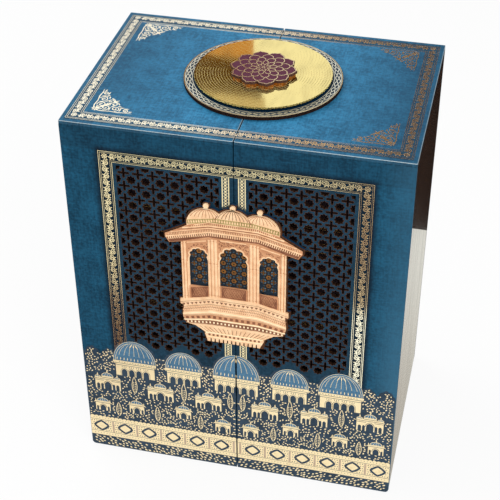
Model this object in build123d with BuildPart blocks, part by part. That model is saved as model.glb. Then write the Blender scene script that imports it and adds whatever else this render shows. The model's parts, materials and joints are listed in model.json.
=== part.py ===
"""A sweet box built as a small cabinet.

Two half shells swing apart on hinges at the back and show a chest of four divided drawers.
Each shell carries half of the pierced front, one side and half of the top.  The medallion and
the balcony are fixed to the left shell and lap over the right one.

+X is to the right, +Y to the back and +Z up.  The origin is the middle of the footprint, on the
table.  Lengths are in millimetres.
"""

from build123d import *
import math
import os

os.makedirs("parts", exist_ok=True)

# Whole box
box_width = 250.0
box_depth = 169.0
box_height = 317.0

# Shells
shell_board = 3.0
seam_gap = 0.8
strip_gap = 0.5
swing_gap = 0.5
table_gap = 1.0
foot_corner_radius = 3.0

# Pierced lattice of stars and crosses in the front
lattice_pitch_x = 10.66
lattice_pitch_z = 10.95
lattice_columns = 7
lattice_top_margin = 31.6
lattice_seam_margin = 10.7
star_radius = 3.5
star_points = 8
cross_reach = 4.3
cross_waist = 1.3

# Roofs of the printed frieze, where the lattice stays closed: middle and half width as shares of
# the half width of the box, top as a share of the frieze's height
frieze_height = 118.0
frieze_ridge_share = 0.92
frieze_roof_shares = [(0.0, 0.15, 1.05), (0.34, 0.12, 1.0), (0.66, 0.14, 1.03)]

# Meeting stiles with their magnets
stile_width = 8.0
stile_depth = 4.5
stile_end_margin = 10.0
magnet_width = 2.5
magnet_depth = 4.0
magnet_height = 12.0
magnet_count = 3
magnet_clearance = 0.05

# Hinges on the back
hinge_setback = 25.0
hinge_length = 40.0
hinge_end_margin = 45.0
hinge_leaf_width = 15.0
hinge_leaf_thickness = 0.8
knuckle_radius = 2.0
knuckle_lift = 0.3
knuckle_gap = 0.3
knuckle_neck_share = 0.3
pin_radius = 1.0
pin_clearance = 0.05

# Base and chest
felt_thickness = 1.0
felt_margin = 2.0
base_thickness = 6.0
chest_board = 3.0
chest_side_gap = 1.0
chest_top_gap = 1.0
knob_space = 14.0

# Drawers
drawer_count = 4
drawer_side_gap = 0.8
drawer_top_gap = 1.2
drawer_floor_gap = 0.3
drawer_back_gap = 1.0
drawer_front_thickness = 3.0
tray_wall = 2.0
tray_height_share = 0.84
divider_thickness = 1.2
divider_height_share = 0.72
divider_fit = 0.3
cross_dividers = 2

# Knobs, cut with flats: distance from the drawer's face as a share of the knob's length, and
# radius as a share of its largest one
knob_clearance = 1.5
knob_radius = 5.0
knob_flats = 8
knob_section_shares = [(0.0, 0.6), (0.35, 0.45), (0.6, 1.0), (0.85, 1.0), (1.0, 0.7)]

# Medallion on the top
tape_thickness = 0.5
tape_margin = 3.0
medallion_x = 1.5
medallion_y = 2.5
medallion_radius = 58.0
medallion_thickness = 2.5
spacer_radius = 42.0
spacer_thickness = 1.5
gilt_plate_radius = 50.5
gilt_plate_thickness = 1.5
rosette_radius = 25.0
rosette_layer = 2.0
rosette_petals = 8
rosette_notch_share = 0.84

# Balcony on the front: a backing plate with five pieces in relief on it
balcony_width = 101.0
balcony_height = 130.0
balcony_bottom = 138.0
balcony_margin = 1.2
balcony_plate_thickness = 2.0
corbel_thickness = 1.2
parapet_thickness = 1.5
arcade_thickness = 1.0
eave_thickness = 1.8
dome_thickness = 1.4

# Right halves of the balcony's outlines: shares of its half width and of its height
corbel_shares = [(0.0, 0.0), (0.42, 0.0), (0.455, 0.058), (0.436, 0.062), (0.594, 0.108), (0.0, 0.108)]
parapet_shares = [
    (0.0, 0.108), (0.594, 0.108), (0.733, 0.119), (0.782, 0.169), (0.762, 0.25),
    (0.812, 0.258), (0.812, 0.292), (0.337, 0.338), (0.0, 0.338),
]
arcade_shares = [(0.0, 0.25), (0.762, 0.25), (0.762, 0.75), (0.0, 0.80)]
eave_shares = [
    (0.0, 0.758), (0.366, 0.754), (0.762, 0.704), (0.94, 0.688), (1.0, 0.723),
    (1.0, 0.746), (0.752, 0.80), (0.663, 0.823), (0.40, 0.858), (0.0, 0.869),
]

# Domes, finials and windows of the balcony: middles and half widths as shares of its half width,
# heights as shares of its height
drum_shares = (0.663, 0.80)
dome_base_share = 0.838
dome_shares = [(-0.386, 0.287, 0.104), (0.0, 0.277, 0.115), (0.386, 0.287, 0.104)]
finial_neck_share = 0.04
finial_cap_share = 0.062
window_shares = [(-0.515, 0.139, 0.40, 0.615), (0.0, 0.205, 0.419, 0.62), (0.515, 0.139, 0.40, 0.615)]
cusp_count = 5
cusp_share = 0.27

# Places that follow from the sizes above
half_width = box_width / 2
half_depth = box_depth / 2
inner_front = -half_depth + shell_board
inner_back = half_depth - shell_board
shell_top = box_height - shell_board
hinge_x = half_width - hinge_setback
hinge_y = half_depth + knuckle_lift + knuckle_radius
chest_half_width = half_width - shell_board - chest_side_gap
chest_front = inner_front + knob_space
chest_back = inner_back - strip_gap
chest_top = shell_top - chest_top_gap
chest_floor = felt_thickness + base_thickness
bay_half_width = chest_half_width - chest_board
bay_back = chest_back - chest_board
bay_pitch = (chest_top - chest_floor) / drawer_count
balcony_half_width = balcony_width / 2
plate_back = -half_depth - tape_thickness
plate_face = plate_back - balcony_plate_thickness


def save(builder, name):
    """Labels a finished piece and writes it to its file."""
    builder.part.label = name
    export_step(builder.part, f"parts/{name}.step")


def block(x0, x1, y0, y1, z0, z1):
    """A board between two corners, in the current part."""
    with Locations(((x0 + x1) / 2, (y0 + y1) / 2, (z0 + z1) / 2)):
        Box(abs(x1 - x0), abs(y1 - y0), abs(z1 - z0))


def pane(x0, x1, z0, z1, mode=Mode.ADD):
    """A rectangle between two corners, in the current sketch."""
    with Locations(((x0 + x1) / 2, (z0 + z1) / 2)):
        Rectangle(abs(x1 - x0), abs(z1 - z0), mode=mode)


def upright(y):
    """A sketch plane at depth y that faces the front: across is X and up is Z."""
    return Plane(origin=(0, y, 0), x_dir=(1, 0, 0), z_dir=(0, -1, 0))


# Outlines of the balcony, drawn in the current sketch

def balcony_point(share_x, share_z):
    """A point of the balcony from its shares of the half width and of the height."""
    return (share_x * balcony_half_width, balcony_bottom + share_z * balcony_height)


def outline(shares, mode=Mode.ADD):
    """A shape given by its right half, with its left half mirrored from it."""
    right = [balcony_point(*share) for share in shares]
    left = [(-x, z) for x, z in reversed(right) if x > 0]
    Polygon(*right, *left, align=None, mode=mode)


def dome_shapes(margin=0):
    """Three domes side by side on a low drum, each with a neck and a round cap on top."""
    base = balcony_point(0, dome_base_share)[1]
    drum_half, drum_low = balcony_point(*drum_shares)
    neck, cap = finial_neck_share * balcony_half_width, finial_cap_share * balcony_half_width
    cap_z = balcony_bottom + balcony_height - cap
    pane(-drum_half - margin, drum_half + margin, drum_low, base)
    for middle, half, rise in dome_shares:
        x = middle * balcony_half_width
        pane(x - neck - margin, x + neck + margin, base, cap_z)
        with Locations((x, base)):
            Ellipse(half * balcony_half_width + margin, rise * balcony_height + margin)
        with Locations((x, cap_z)):
            Circle(cap + margin)


def domes():
    """The domes as far as they show over the eave."""
    dome_shapes()
    pane(-balcony_width, balcony_width, balcony_bottom, balcony_point(*drum_shares)[1], mode=Mode.SUBTRACT)
    outline(eave_shares, mode=Mode.SUBTRACT)


def corbel():
    """The tapered bracket under the balcony."""
    outline(corbel_shares)


def parapet():
    """The low wall with its sill."""
    outline(parapet_shares)


def eave():
    """The sloping stone eave over the windows."""
    outline(eave_shares)


def arcade_wall():
    """The wall between parapet and eave, without its windows."""
    outline(arcade_shares)
    outline(parapet_shares, mode=Mode.SUBTRACT)
    outline(eave_shares, mode=Mode.SUBTRACT)


def arcade():
    """The wall with three windows under cusped arches."""
    arcade_wall()
    for middle, half, sill, spring in window_shares:
        x, sill_z = balcony_point(middle, sill)
        spring_z = balcony_point(middle, spring)[1]
        radius = half * balcony_half_width
        cusp = cusp_share * radius
        pane(x - radius, x + radius, sill_z, spring_z, mode=Mode.SUBTRACT)
        with Locations((x, spring_z)):
            Circle(radius - cusp, mode=Mode.SUBTRACT)
            half_cusp = 90 / cusp_count
            with PolarLocations(radius - cusp, cusp_count, half_cusp, 180 - 2 * half_cusp, endpoint=True):
                Circle(cusp, mode=Mode.SUBTRACT)


def backing():
    """The whole balcony with a margin round it."""
    arcade_wall()
    parapet()
    eave()
    corbel()
    offset(amount=balcony_margin, kind=Kind.INTERSECTION)
    dome_shapes(balcony_margin)


with BuildSketch() as balcony_outline:
    backing()


# Holes of the lattice

lattice_top = box_height - lattice_top_margin
frieze_ridge = frieze_ridge_share * frieze_height


def skyline(x):
    """Height of the printed frieze's roofs at this place across the front."""
    height = frieze_ridge
    for middle, half, top in frieze_roof_shares:
        away = (abs(x) - middle * half_width) / (half * half_width)
        if abs(away) < 1:
            rise = (top - frieze_ridge_share) * frieze_height
            height = max(height, frieze_ridge + rise * math.sqrt(1 - away**2))
    return height


def is_open(x, z, reach):
    """True for a hole that clears both the frieze and the balcony."""
    edges = [(x - reach, z), (x + reach, z), (x, z - reach), (x, z + reach)]
    if any(z - reach < skyline(edge_x) for edge_x, _ in edges):
        return False
    return not any(balcony_outline.face().is_inside((edge_x, edge_z, 0)) for edge_x, edge_z in edges)


def hole_places(side, first, reach):
    """Places of the open holes of one kind in one half of the front.

    The first one lies this many pitches from the field's top and from its edge at the seam.
    """
    places = []
    columns = math.floor(lattice_columns + 1 - 2 * first)
    rows = math.ceil((lattice_top - frieze_ridge) / lattice_pitch_z)
    for column in range(columns):
        for row in range(rows):
            x = side * (lattice_seam_margin + (first + column) * lattice_pitch_x)
            z = lattice_top - (first + row) * lattice_pitch_z
            if is_open(x, z, reach):
                places.append((x, z))
    return places


def cross():
    """A slender cross with four points, in the current sketch."""
    turns = [math.pi / 4 * i for i in range(8)]
    reaches = [cross_reach, cross_waist] * 4
    Polygon(*[(r * math.cos(turn), r * math.sin(turn)) for r, turn in zip(reaches, turns)], align=None)


def front_panel(side):
    """Half of the front, pierced with whole stars and, half a pitch off, with crosses."""
    with BuildPart() as panel:
        with BuildSketch(upright(-half_depth)) as face:
            pane(side * seam_gap / 2, side * half_width, table_gap, shell_top)
            foot = face.vertices().group_by(Axis.Z)[0].sort_by(Axis.X)[-1 if side > 0 else 0]
            fillet(foot, foot_corner_radius)
        extrude(amount=-shell_board)
        with BuildSketch(upright(-half_depth)):
            with Locations(*hole_places(side, 1, star_radius)):
                RegularPolygon(star_radius, star_points, rotation=180 / star_points)
            with Locations(*hole_places(side, 1 / 2, cross_reach)):
                cross()
        extrude(amount=-shell_board, mode=Mode.SUBTRACT)
    return panel


# The other pieces of a shell

def side_panel(side):
    """The shell's side, between the front and the strip at the back."""
    with BuildPart() as panel:
        block(side * (half_width - shell_board), side * half_width, inner_front, inner_back, table_gap, shell_top)
    return panel


def top_panel(side):
    """Half of the top, laid on the front, the side and the strip at the back."""
    with BuildPart() as panel:
        block(side * seam_gap / 2, side * half_width, -half_depth, half_depth, shell_top, box_height)
    return panel


def back_strip(side):
    """The narrow return at the back that carries the shell's hinge leaves."""
    with BuildPart() as strip:
        block(side * (hinge_x + strip_gap), side * half_width, inner_back, half_depth, table_gap, shell_top)
    return strip


stile_low = chest_floor + stile_end_margin
stile_high = shell_top - stile_end_margin
magnet_pitch = (stile_high - stile_low) / magnet_count
magnet_heights = [stile_low + (i + 0.5) * magnet_pitch for i in range(magnet_count)]


def seam_plane(side):
    """A sketch plane on the stile's seam face: across is Y and up is Z."""
    return Plane(origin=(side * seam_gap / 2, 0, 0), x_dir=(0, 1, 0), z_dir=(1, 0, 0))


def meeting_stile(side):
    """The strip behind the seam that stiffens the front, with pockets for the magnets."""
    seam = side * seam_gap / 2
    with BuildPart() as stile:
        block(seam, seam + side * stile_width, inner_front, inner_front + stile_depth, stile_low, stile_high)
        with BuildSketch(seam_plane(side)):
            with Locations(*[(inner_front + stile_depth / 2, z) for z in magnet_heights]):
                Rectangle(magnet_width + 2 * magnet_clearance, magnet_height + 2 * magnet_clearance)
        extrude(amount=side * magnet_depth, mode=Mode.SUBTRACT)
    return stile


def magnets(side):
    """Bar magnets that close the box, flush with the seam face of the stile."""
    with BuildPart() as bars:
        with BuildSketch(seam_plane(side)):
            with Locations(*[(inner_front + stile_depth / 2, z) for z in magnet_heights]):
                Rectangle(magnet_width, magnet_height)
        extrude(amount=side * magnet_depth)
    return bars


# Hinges: the shell's knuckle stands on the back panel's, and one pin runs through both

hinge_heights = (hinge_end_margin, shell_top - hinge_end_margin)
knuckle_length = (hinge_length - knuckle_gap) / 2


def hinge_leaves(side, way, above):
    """Two flat leaves that reach from the hinge axis one way, each with one knuckle."""
    axis_x = side * hinge_x
    leaf_inner = axis_x + way * (knuckle_radius + knuckle_gap)
    leaf_back = half_depth + hinge_leaf_thickness
    neck = axis_x + way * knuckle_neck_share * knuckle_radius
    with BuildPart() as leaves:
        for z in hinge_heights:
            low = z + knuckle_gap / 2 if above else z - hinge_length / 2
            block(leaf_inner, leaf_inner + way * hinge_leaf_width, half_depth, leaf_back,
                  z - hinge_length / 2, z + hinge_length / 2)
            block(neck, leaf_inner, half_depth, leaf_back, low, low + knuckle_length)
            with Locations((axis_x, hinge_y, low + knuckle_length / 2)):
                Cylinder(knuckle_radius, knuckle_length)
                Cylinder(pin_radius + pin_clearance, 2 * hinge_length, mode=Mode.SUBTRACT)
    return leaves


def hinge_pins(side):
    """A pin through both knuckles of each hinge."""
    with BuildPart() as pins:
        with Locations(*[(side * hinge_x, hinge_y, z) for z in hinge_heights]):
            Cylinder(pin_radius, hinge_length)
    return pins


for name, side in (("left", -1), ("right", 1)):
    save(front_panel(side), f"{name}_front_panel")
    save(side_panel(side), f"{name}_side_panel")
    save(top_panel(side), f"{name}_top_panel")
    save(back_strip(side), f"{name}_back_strip")
    save(meeting_stile(side), f"{name}_meeting_stile")
    save(magnets(side), f"{name}_magnets")
    save(hinge_leaves(side, way=side, above=True), f"{name}_hinge_shell_leaves")
    save(hinge_leaves(side, way=-side, above=False), f"{name}_hinge_back_leaves")
    save(hinge_pins(side), f"{name}_hinge_pins")


# Base and chest; the base stands back from the front so that the shells' corners swing past it

swing_radius = hinge_y - inner_front - swing_gap
corner_offset = hinge_x - chest_half_width
base_front = hinge_y - math.sqrt(swing_radius**2 - corner_offset**2)

with BuildPart() as base_felt:
    block(-chest_half_width + felt_margin, chest_half_width - felt_margin,
          base_front + felt_margin, chest_back - felt_margin, 0, felt_thickness)
save(base_felt, "base_felt")

with BuildPart() as base_board:
    block(-chest_half_width, chest_half_width, base_front, chest_back, felt_thickness, chest_floor)
save(base_board, "base_board")

with BuildPart() as outer_back_panel:
    back_half_width = hinge_x - strip_gap
    block(-back_half_width, back_half_width, chest_back, half_depth, felt_thickness, chest_top)
save(outer_back_panel, "outer_back_panel")

with BuildPart() as chest_back_board:
    block(-chest_half_width, chest_half_width, bay_back, chest_back, chest_floor, chest_top)
save(chest_back_board, "chest_back_board")

with BuildPart() as chest_top_board:
    block(-chest_half_width, chest_half_width, chest_front, bay_back, chest_top - chest_board, chest_top)
save(chest_top_board, "chest_top_board")

for name, side in (("left", -1), ("right", 1)):
    with BuildPart() as chest_side:
        block(side * bay_half_width, side * chest_half_width, chest_front, bay_back,
              chest_floor, chest_top - chest_board)
    save(chest_side, f"chest_{name}_side")

for i in range(1, drawer_count):
    shelf_z = chest_top - i * bay_pitch
    with BuildPart() as chest_shelf:
        block(-bay_half_width, bay_half_width, chest_front, bay_back, shelf_z - chest_board, shelf_z)
    save(chest_shelf, f"chest_shelf_{i}")


# Drawers, numbered from the top

drawer_half_width = bay_half_width - drawer_side_gap
front_height = bay_pitch - chest_board - drawer_floor_gap - drawer_top_gap
tray_front = chest_front + drawer_front_thickness
tray_back = bay_back - drawer_back_gap
tray_height = tray_height_share * front_height
tray_inner_half = drawer_half_width - tray_wall
tray_inner_front = tray_front + tray_wall
tray_inner_back = tray_back - tray_wall
tray_middle_y = (tray_inner_front + tray_inner_back) / 2
divider_height = divider_height_share * (tray_height - tray_wall)
knob_length = knob_space - stile_depth - knob_clearance


def tray(floor):
    """A bottom and four walls."""
    low, high = floor + tray_wall, floor + tray_height
    with BuildPart() as boards:
        block(-drawer_half_width, drawer_half_width, tray_front, tray_back, floor, low)
        for end in (-1, 1):
            block(end * tray_inner_half, end * drawer_half_width, tray_front, tray_back, low, high)
        block(-tray_inner_half, tray_inner_half, tray_front, tray_inner_front, low, high)
        block(-tray_inner_half, tray_inner_half, tray_inner_back, tray_back, low, high)
    return boards


def drawer_front(floor):
    """The drawer's face board."""
    with BuildPart() as board:
        block(-drawer_half_width, drawer_half_width, chest_front, tray_front, floor, floor + front_height)
    return board


def knob(floor):
    """A waisted knob with flat sides, seated on the drawer's face."""
    with BuildPart() as cut:
        for along, radius in knob_section_shares:
            with BuildSketch(upright(chest_front - along * knob_length)):
                with Locations((0, floor + front_height / 2)):
                    RegularPolygon(radius * knob_radius, knob_flats, rotation=180 / knob_flats)
        loft(ruled=True)
    return cut


def dividers(floor):
    """A long strip and cross strips, halved into each other where they meet."""
    low = floor + tray_wall
    high = low + divider_height
    slot = divider_thickness + divider_fit
    bay = 2 * tray_inner_half / (cross_dividers + 1)
    cross_places = [-tray_inner_half + (i + 1) * bay for i in range(cross_dividers)]
    with BuildPart() as strips:
        with BuildSketch(upright(tray_middle_y - divider_thickness / 2)):
            pane(-tray_inner_half + divider_fit, tray_inner_half - divider_fit, low, high)
            with Locations(*[(x, high) for x in cross_places]):
                Rectangle(slot, divider_height + divider_fit, mode=Mode.SUBTRACT)
        extrude(amount=-divider_thickness)
        for x in cross_places:
            with BuildSketch(Plane(origin=(x - divider_thickness / 2, 0, 0), x_dir=(0, 1, 0), z_dir=(1, 0, 0))):
                pane(tray_inner_front + divider_fit, tray_inner_back - divider_fit, low, high)
                with Locations((tray_middle_y, low)):
                    Rectangle(slot, divider_height - divider_fit, mode=Mode.SUBTRACT)
            extrude(amount=divider_thickness)
    return strips


for i in range(1, drawer_count + 1):
    floor = chest_top - i * bay_pitch + drawer_floor_gap
    save(tray(floor), f"drawer_{i}_tray")
    save(drawer_front(floor), f"drawer_{i}_front")
    save(knob(floor), f"drawer_{i}_knob")
    save(dividers(floor), f"drawer_{i}_dividers")


# Medallion: flat plates stacked on the top, held by tape on the left half alone

base_plate_z = box_height + tape_thickness
spacer_z = base_plate_z + medallion_thickness
gilt_plate_z = spacer_z + spacer_thickness
rosette_z = gilt_plate_z + gilt_plate_thickness

with BuildPart() as medallion_tape:
    with BuildSketch(Plane.XY.offset(box_height)):
        with Locations((medallion_x, medallion_y)):
            Circle(medallion_radius - tape_margin)
        with Locations((half_width - tape_margin, 0)):
            Rectangle(box_width, box_depth, mode=Mode.SUBTRACT)
    extrude(amount=tape_thickness)
save(medallion_tape, "medallion_tape")


def polar(reach, angle):
    """A point at this reach and angle from the middle of the medallion."""
    turn = math.radians(angle)
    return (medallion_x + reach * math.cos(turn), medallion_y + reach * math.sin(turn))


def medallion_disc(radius, base, thickness):
    """A round plate of the medallion."""
    with BuildPart() as plate:
        with BuildSketch(Plane.XY.offset(base)):
            with Locations((medallion_x, medallion_y)):
                Circle(radius)
        extrude(amount=thickness)
    return plate


def rosette(base):
    """A layer of the rosette, with round petals that meet in notches."""
    tips = [360 / rosette_petals * i for i in range(rosette_petals)]
    half_petal = 180 / rosette_petals
    notch = rosette_notch_share * rosette_radius
    with BuildPart() as layer:
        with BuildSketch(Plane.XY.offset(base)):
            with BuildLine():
                for tip in tips:
                    start, end = polar(notch, tip - half_petal), polar(notch, tip + half_petal)
                    ThreePointArc(start, polar(rosette_radius, tip), end)
            make_face()
        extrude(amount=rosette_layer)
    return layer


save(medallion_disc(medallion_radius, base_plate_z, medallion_thickness), "medallion_base")
save(medallion_disc(spacer_radius, spacer_z, spacer_thickness), "medallion_spacer")
save(medallion_disc(gilt_plate_radius, gilt_plate_z, gilt_plate_thickness), "medallion_gilt_plate")
save(rosette(rosette_z), "rosette_lower_layer")
save(rosette(rosette_z + rosette_layer), "rosette_upper_layer")


# Balcony: a plate held by tape on the left half of the front alone, with the relief on its face

with BuildPart() as balcony_tape:
    with BuildSketch(upright(-half_depth)):
        arcade_wall()
        pane(-tape_margin, balcony_width, balcony_bottom, balcony_bottom + balcony_height, mode=Mode.SUBTRACT)
    extrude(amount=tape_thickness)
save(balcony_tape, "balcony_tape")

with BuildPart() as balcony_plate:
    with BuildSketch(upright(plate_back)):
        backing()
    extrude(amount=balcony_plate_thickness)
save(balcony_plate, "balcony_plate")

for shape, thickness in (
    (corbel, corbel_thickness),
    (parapet, parapet_thickness),
    (arcade, arcade_thickness),
    (eave, eave_thickness),
    (domes, dome_thickness),
):
    with BuildPart() as relief:
        with BuildSketch(upright(plate_face)):
            shape()
        extrude(amount=thickness)
    save(relief, f"balcony_{shape.__name__}")
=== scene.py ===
"""The finish of a sweet box that is built as a small cabinet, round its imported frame.

Drawings are flat and in millimetres.  Each is laid on its board by one of the sheets below, which
turns it and brings it to metres.  The lattice, the foil, the prints and the carving are grown from
drawings by Geometry Nodes.
"""

import json
import math
import random

import bmesh
import bpy
from mathutils import Matrix, Vector

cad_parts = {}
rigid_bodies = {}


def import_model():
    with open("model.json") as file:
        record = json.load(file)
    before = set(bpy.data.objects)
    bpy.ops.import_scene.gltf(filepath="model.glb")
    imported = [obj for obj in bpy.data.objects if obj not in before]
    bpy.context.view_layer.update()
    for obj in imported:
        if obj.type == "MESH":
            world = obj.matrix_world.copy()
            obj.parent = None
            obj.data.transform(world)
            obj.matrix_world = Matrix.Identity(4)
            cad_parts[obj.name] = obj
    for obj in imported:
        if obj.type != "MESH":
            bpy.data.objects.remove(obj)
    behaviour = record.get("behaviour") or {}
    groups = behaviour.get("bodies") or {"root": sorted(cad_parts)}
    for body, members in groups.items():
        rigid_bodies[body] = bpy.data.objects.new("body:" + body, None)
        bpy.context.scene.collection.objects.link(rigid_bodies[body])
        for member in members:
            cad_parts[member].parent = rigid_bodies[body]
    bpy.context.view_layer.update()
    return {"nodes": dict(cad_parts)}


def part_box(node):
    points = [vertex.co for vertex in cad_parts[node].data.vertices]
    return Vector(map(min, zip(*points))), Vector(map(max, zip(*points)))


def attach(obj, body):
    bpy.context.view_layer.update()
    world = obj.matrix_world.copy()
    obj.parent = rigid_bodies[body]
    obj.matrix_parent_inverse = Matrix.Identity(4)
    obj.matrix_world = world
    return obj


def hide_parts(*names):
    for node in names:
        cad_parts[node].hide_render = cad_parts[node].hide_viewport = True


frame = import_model()
nodes = frame["nodes"]
MM = 0.001

# Boards, from the frame

panel_low, panel_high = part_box("right_front_panel")
top_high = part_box("right_top_panel")[1]
front_y = panel_low.y
top_z = top_high.z
half_width = panel_high.x / MM
seam_x = panel_low.x / MM
panel_foot = panel_low.z / MM
panel_head = panel_high.z / MM
panel_thickness = (panel_high.y - panel_low.y) / MM
panel_corner = 3
half_depth = top_high.y / MM


# Sheets: where a flat drawing lies

def front_sheet(y):
    """Drawn seen from the front: across is X and up is Z."""
    return Matrix.Translation((0, y, 0)) @ Matrix.Rotation(math.pi / 2, 4, "X") @ Matrix.Scale(MM, 4)


def top_sheet(z):
    """Drawn seen from above: across is X and up the sheet is Y."""
    return Matrix.Translation((0, 0, z)) @ Matrix.Scale(MM, 4)


def back_sheet(y):
    """Drawn seen from the back: across is -X and up is Z."""
    return Matrix.Rotation(math.pi, 4, "Z") @ front_sheet(-y)


# Node graphs

class Nodes:
    """A graph of nodes, each made with its settings first and then its sockets."""

    def __init__(self, tree):
        self.tree = tree

    def node(self, kind, settings=None, inputs=None):
        made = self.tree.nodes.new(kind)
        for key, value in (settings or {}).items():
            if key == "stops":
                while len(made.color_ramp.elements) < len(value):
                    made.color_ramp.elements.new(1)
                for element, (place, color) in zip(made.color_ramp.elements, value):
                    element.position, element.color = place, color
            else:
                setattr(made, key, value)
        for key, value in (inputs or {}).items():
            self.feed(made.inputs[key], value)
        return made

    def feed(self, socket, value):
        if isinstance(value, Value):
            value = value.socket
        if isinstance(value, bpy.types.Node):
            value = value.outputs[0]
        if isinstance(value, bpy.types.NodeSocket):
            self.tree.links.new(value, socket)
        else:
            socket.default_value = value


class Value:
    """A number that changes over a surface.  Arithmetic on it adds Math nodes."""

    def __init__(self, graph, socket):
        self.graph = graph
        self.socket = socket

    def math(self, operation, *others):
        inputs = dict(enumerate((self, *others)))
        made = self.graph.node("ShaderNodeMath", {"operation": operation}, inputs)
        return Value(self.graph, made.outputs[0])

    def __add__(self, other):
        return self.math("ADD", other)

    __radd__ = __add__

    def __mul__(self, other):
        return self.math("MULTIPLY", other)

    __rmul__ = __mul__

    def __sub__(self, other):
        return self.math("SUBTRACT", other)

    def __rsub__(self, other):
        return self.math("MULTIPLY_ADD", -1, other)

    def __truediv__(self, other):
        return self.math("DIVIDE", other)

    def __abs__(self):
        return self.math("ABSOLUTE")

    def __lt__(self, other):
        return self.math("LESS_THAN", other)

    def __gt__(self, other):
        return self.math("GREATER_THAN", other)

    def larger(self, other):
        return self.math("MAXIMUM", other)

    def smaller(self, other):
        return self.math("MINIMUM", other)

    def root(self):
        return self.math("SQRT")

    def from_nearest(self, pitch):
        """Signed distance from the nearest multiple of the pitch."""
        return self - self.math("SNAP", pitch) - pitch / 2

    def fade(self, start, end):
        """0 before the start and 1 after the end, smooth between them."""
        made = self.graph.node(
            "ShaderNodeMapRange",
            {"interpolation_type": "SMOOTHSTEP"},
            {"Value": self, "From Min": start, "From Max": end},
        )
        return Value(self.graph, made.outputs[0])


def rgb(red, green, blue):
    """A colour from its screen values, 0 to 255, as the shaders need it."""
    levels = [level / 255 for level in (red, green, blue)]
    return (*[v / 12.92 if v <= 0.04045 else ((v + 0.055) / 1.055) ** 2.4 for v in levels], 1.0)


class Finish(Nodes):
    """A material under construction."""

    def __init__(self, name):
        self.material = bpy.data.materials.new(name)
        self.material.use_nodes = True
        super().__init__(self.material.node_tree)
        self.tree.nodes.clear()
        self.place = self.node("ShaderNodeTexCoord").outputs["Object"]

    def axes(self):
        """The place in millimetres, as three numbers."""
        split = self.node("ShaderNodeSeparateXYZ", {}, {0: self.place})
        return [Value(self, output) * (1 / MM) for output in split.outputs]

    def facing(self):
        """How far the surface faces X, Y and Z, as three numbers."""
        normal = self.node("ShaderNodeTexCoord").outputs["Normal"]
        return [Value(self, output) for output in self.node("ShaderNodeSeparateXYZ", {}, {0: normal}).outputs]

    def noise(self, size, detail=2.0, stretch=(1, 1, 1)):
        """Cloudy noise from 0 to 1 with spots of this size in millimetres, drawn out by the stretch."""
        scale = tuple(1 / (size * MM * share) for share in stretch)
        moved = self.node("ShaderNodeVectorMath", {"operation": "MULTIPLY"}, {0: self.place, 1: scale})
        made = self.node("ShaderNodeTexNoise", {}, {"Vector": moved, "Scale": 1.0, "Detail": detail})
        return Value(self, made.outputs[0])

    def mix(self, factor, first, second, blend="MIX"):
        made = self.node(
            "ShaderNodeMix", {"data_type": "RGBA", "blend_type": blend}, {0: factor, 6: first, 7: second}
        )
        return made.outputs[2]

    def done(self, color, roughness=0.5, metallic=0.0, specular=0.5, coat=0.0, coat_roughness=0.03,
             sheen=0.0, bump=None, bump_depth=0.1):
        """Ends the material.  The bump's depth is in millimetres."""
        inputs = {
            "Base Color": color, "Roughness": roughness, "Metallic": metallic,
            "Specular IOR Level": specular, "Coat Weight": coat, "Coat Roughness": coat_roughness,
            "Sheen Weight": sheen,
        }
        if bump is not None:
            inputs["Normal"] = self.node("ShaderNodeBump", {}, {"Distance": bump_depth * MM, "Height": bump})
        shader = self.node("ShaderNodeBsdfPrincipled", {}, inputs)
        self.node("ShaderNodeOutputMaterial", {}, {"Surface": shader})
        return self.material


weld_distance = 0.0001


class Grower(Nodes):
    """A Geometry Nodes tree with named inputs that sets motifs on places."""

    def __init__(self, name, **inputs):
        super().__init__(bpy.data.node_groups.new(name, "GeometryNodeTree"))
        self.sockets = {}
        for label, kind in {"Geometry": "Geometry", "Motifs": "Collection", **inputs}.items():
            self.sockets[label] = self.tree.interface.new_socket(
                name=label, in_out="INPUT", socket_type=f"NodeSocket{kind}"
            )
        self.tree.interface.new_socket(name="Geometry", in_out="OUTPUT", socket_type="NodeSocketGeometry")
        self.given = self.node("NodeGroupInput").outputs

    def attribute(self, name, kind):
        return self.node("GeometryNodeInputNamedAttribute", {"data_type": kind}, {"Name": name})

    def placed(self):
        """The motif that each place names, turned and sized as the place says, as plain geometry."""
        motifs = self.node(
            "GeometryNodeCollectionInfo", {},
            {"Collection": self.given["Motifs"], "Separate Children": True, "Reset Children": True},
        )
        turn = self.node("ShaderNodeCombineXYZ", {}, {"Z": self.attribute("turn", "FLOAT")})
        copies = self.node(
            "GeometryNodeInstanceOnPoints", {},
            {
                "Points": self.given["Geometry"], "Instance": motifs, "Pick Instance": True,
                "Instance Index": self.attribute("kind", "INT"),
                "Rotation": self.node("FunctionNodeEulerToRotation", {}, {"Euler": turn}),
                "Scale": self.attribute("size", "FLOAT_VECTOR"),
            },
        )
        return self.node("GeometryNodeRealizeInstances", {}, {"Geometry": copies})

    def end(self, geometry, finish, selection=True):
        """Ends the tree with a finish on what it grew."""
        last = self.node(
            "GeometryNodeSetMaterial", {}, {"Geometry": geometry, "Selection": selection, "Material": finish}
        )
        self.node("NodeGroupOutput", {}, {0: last})


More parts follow.
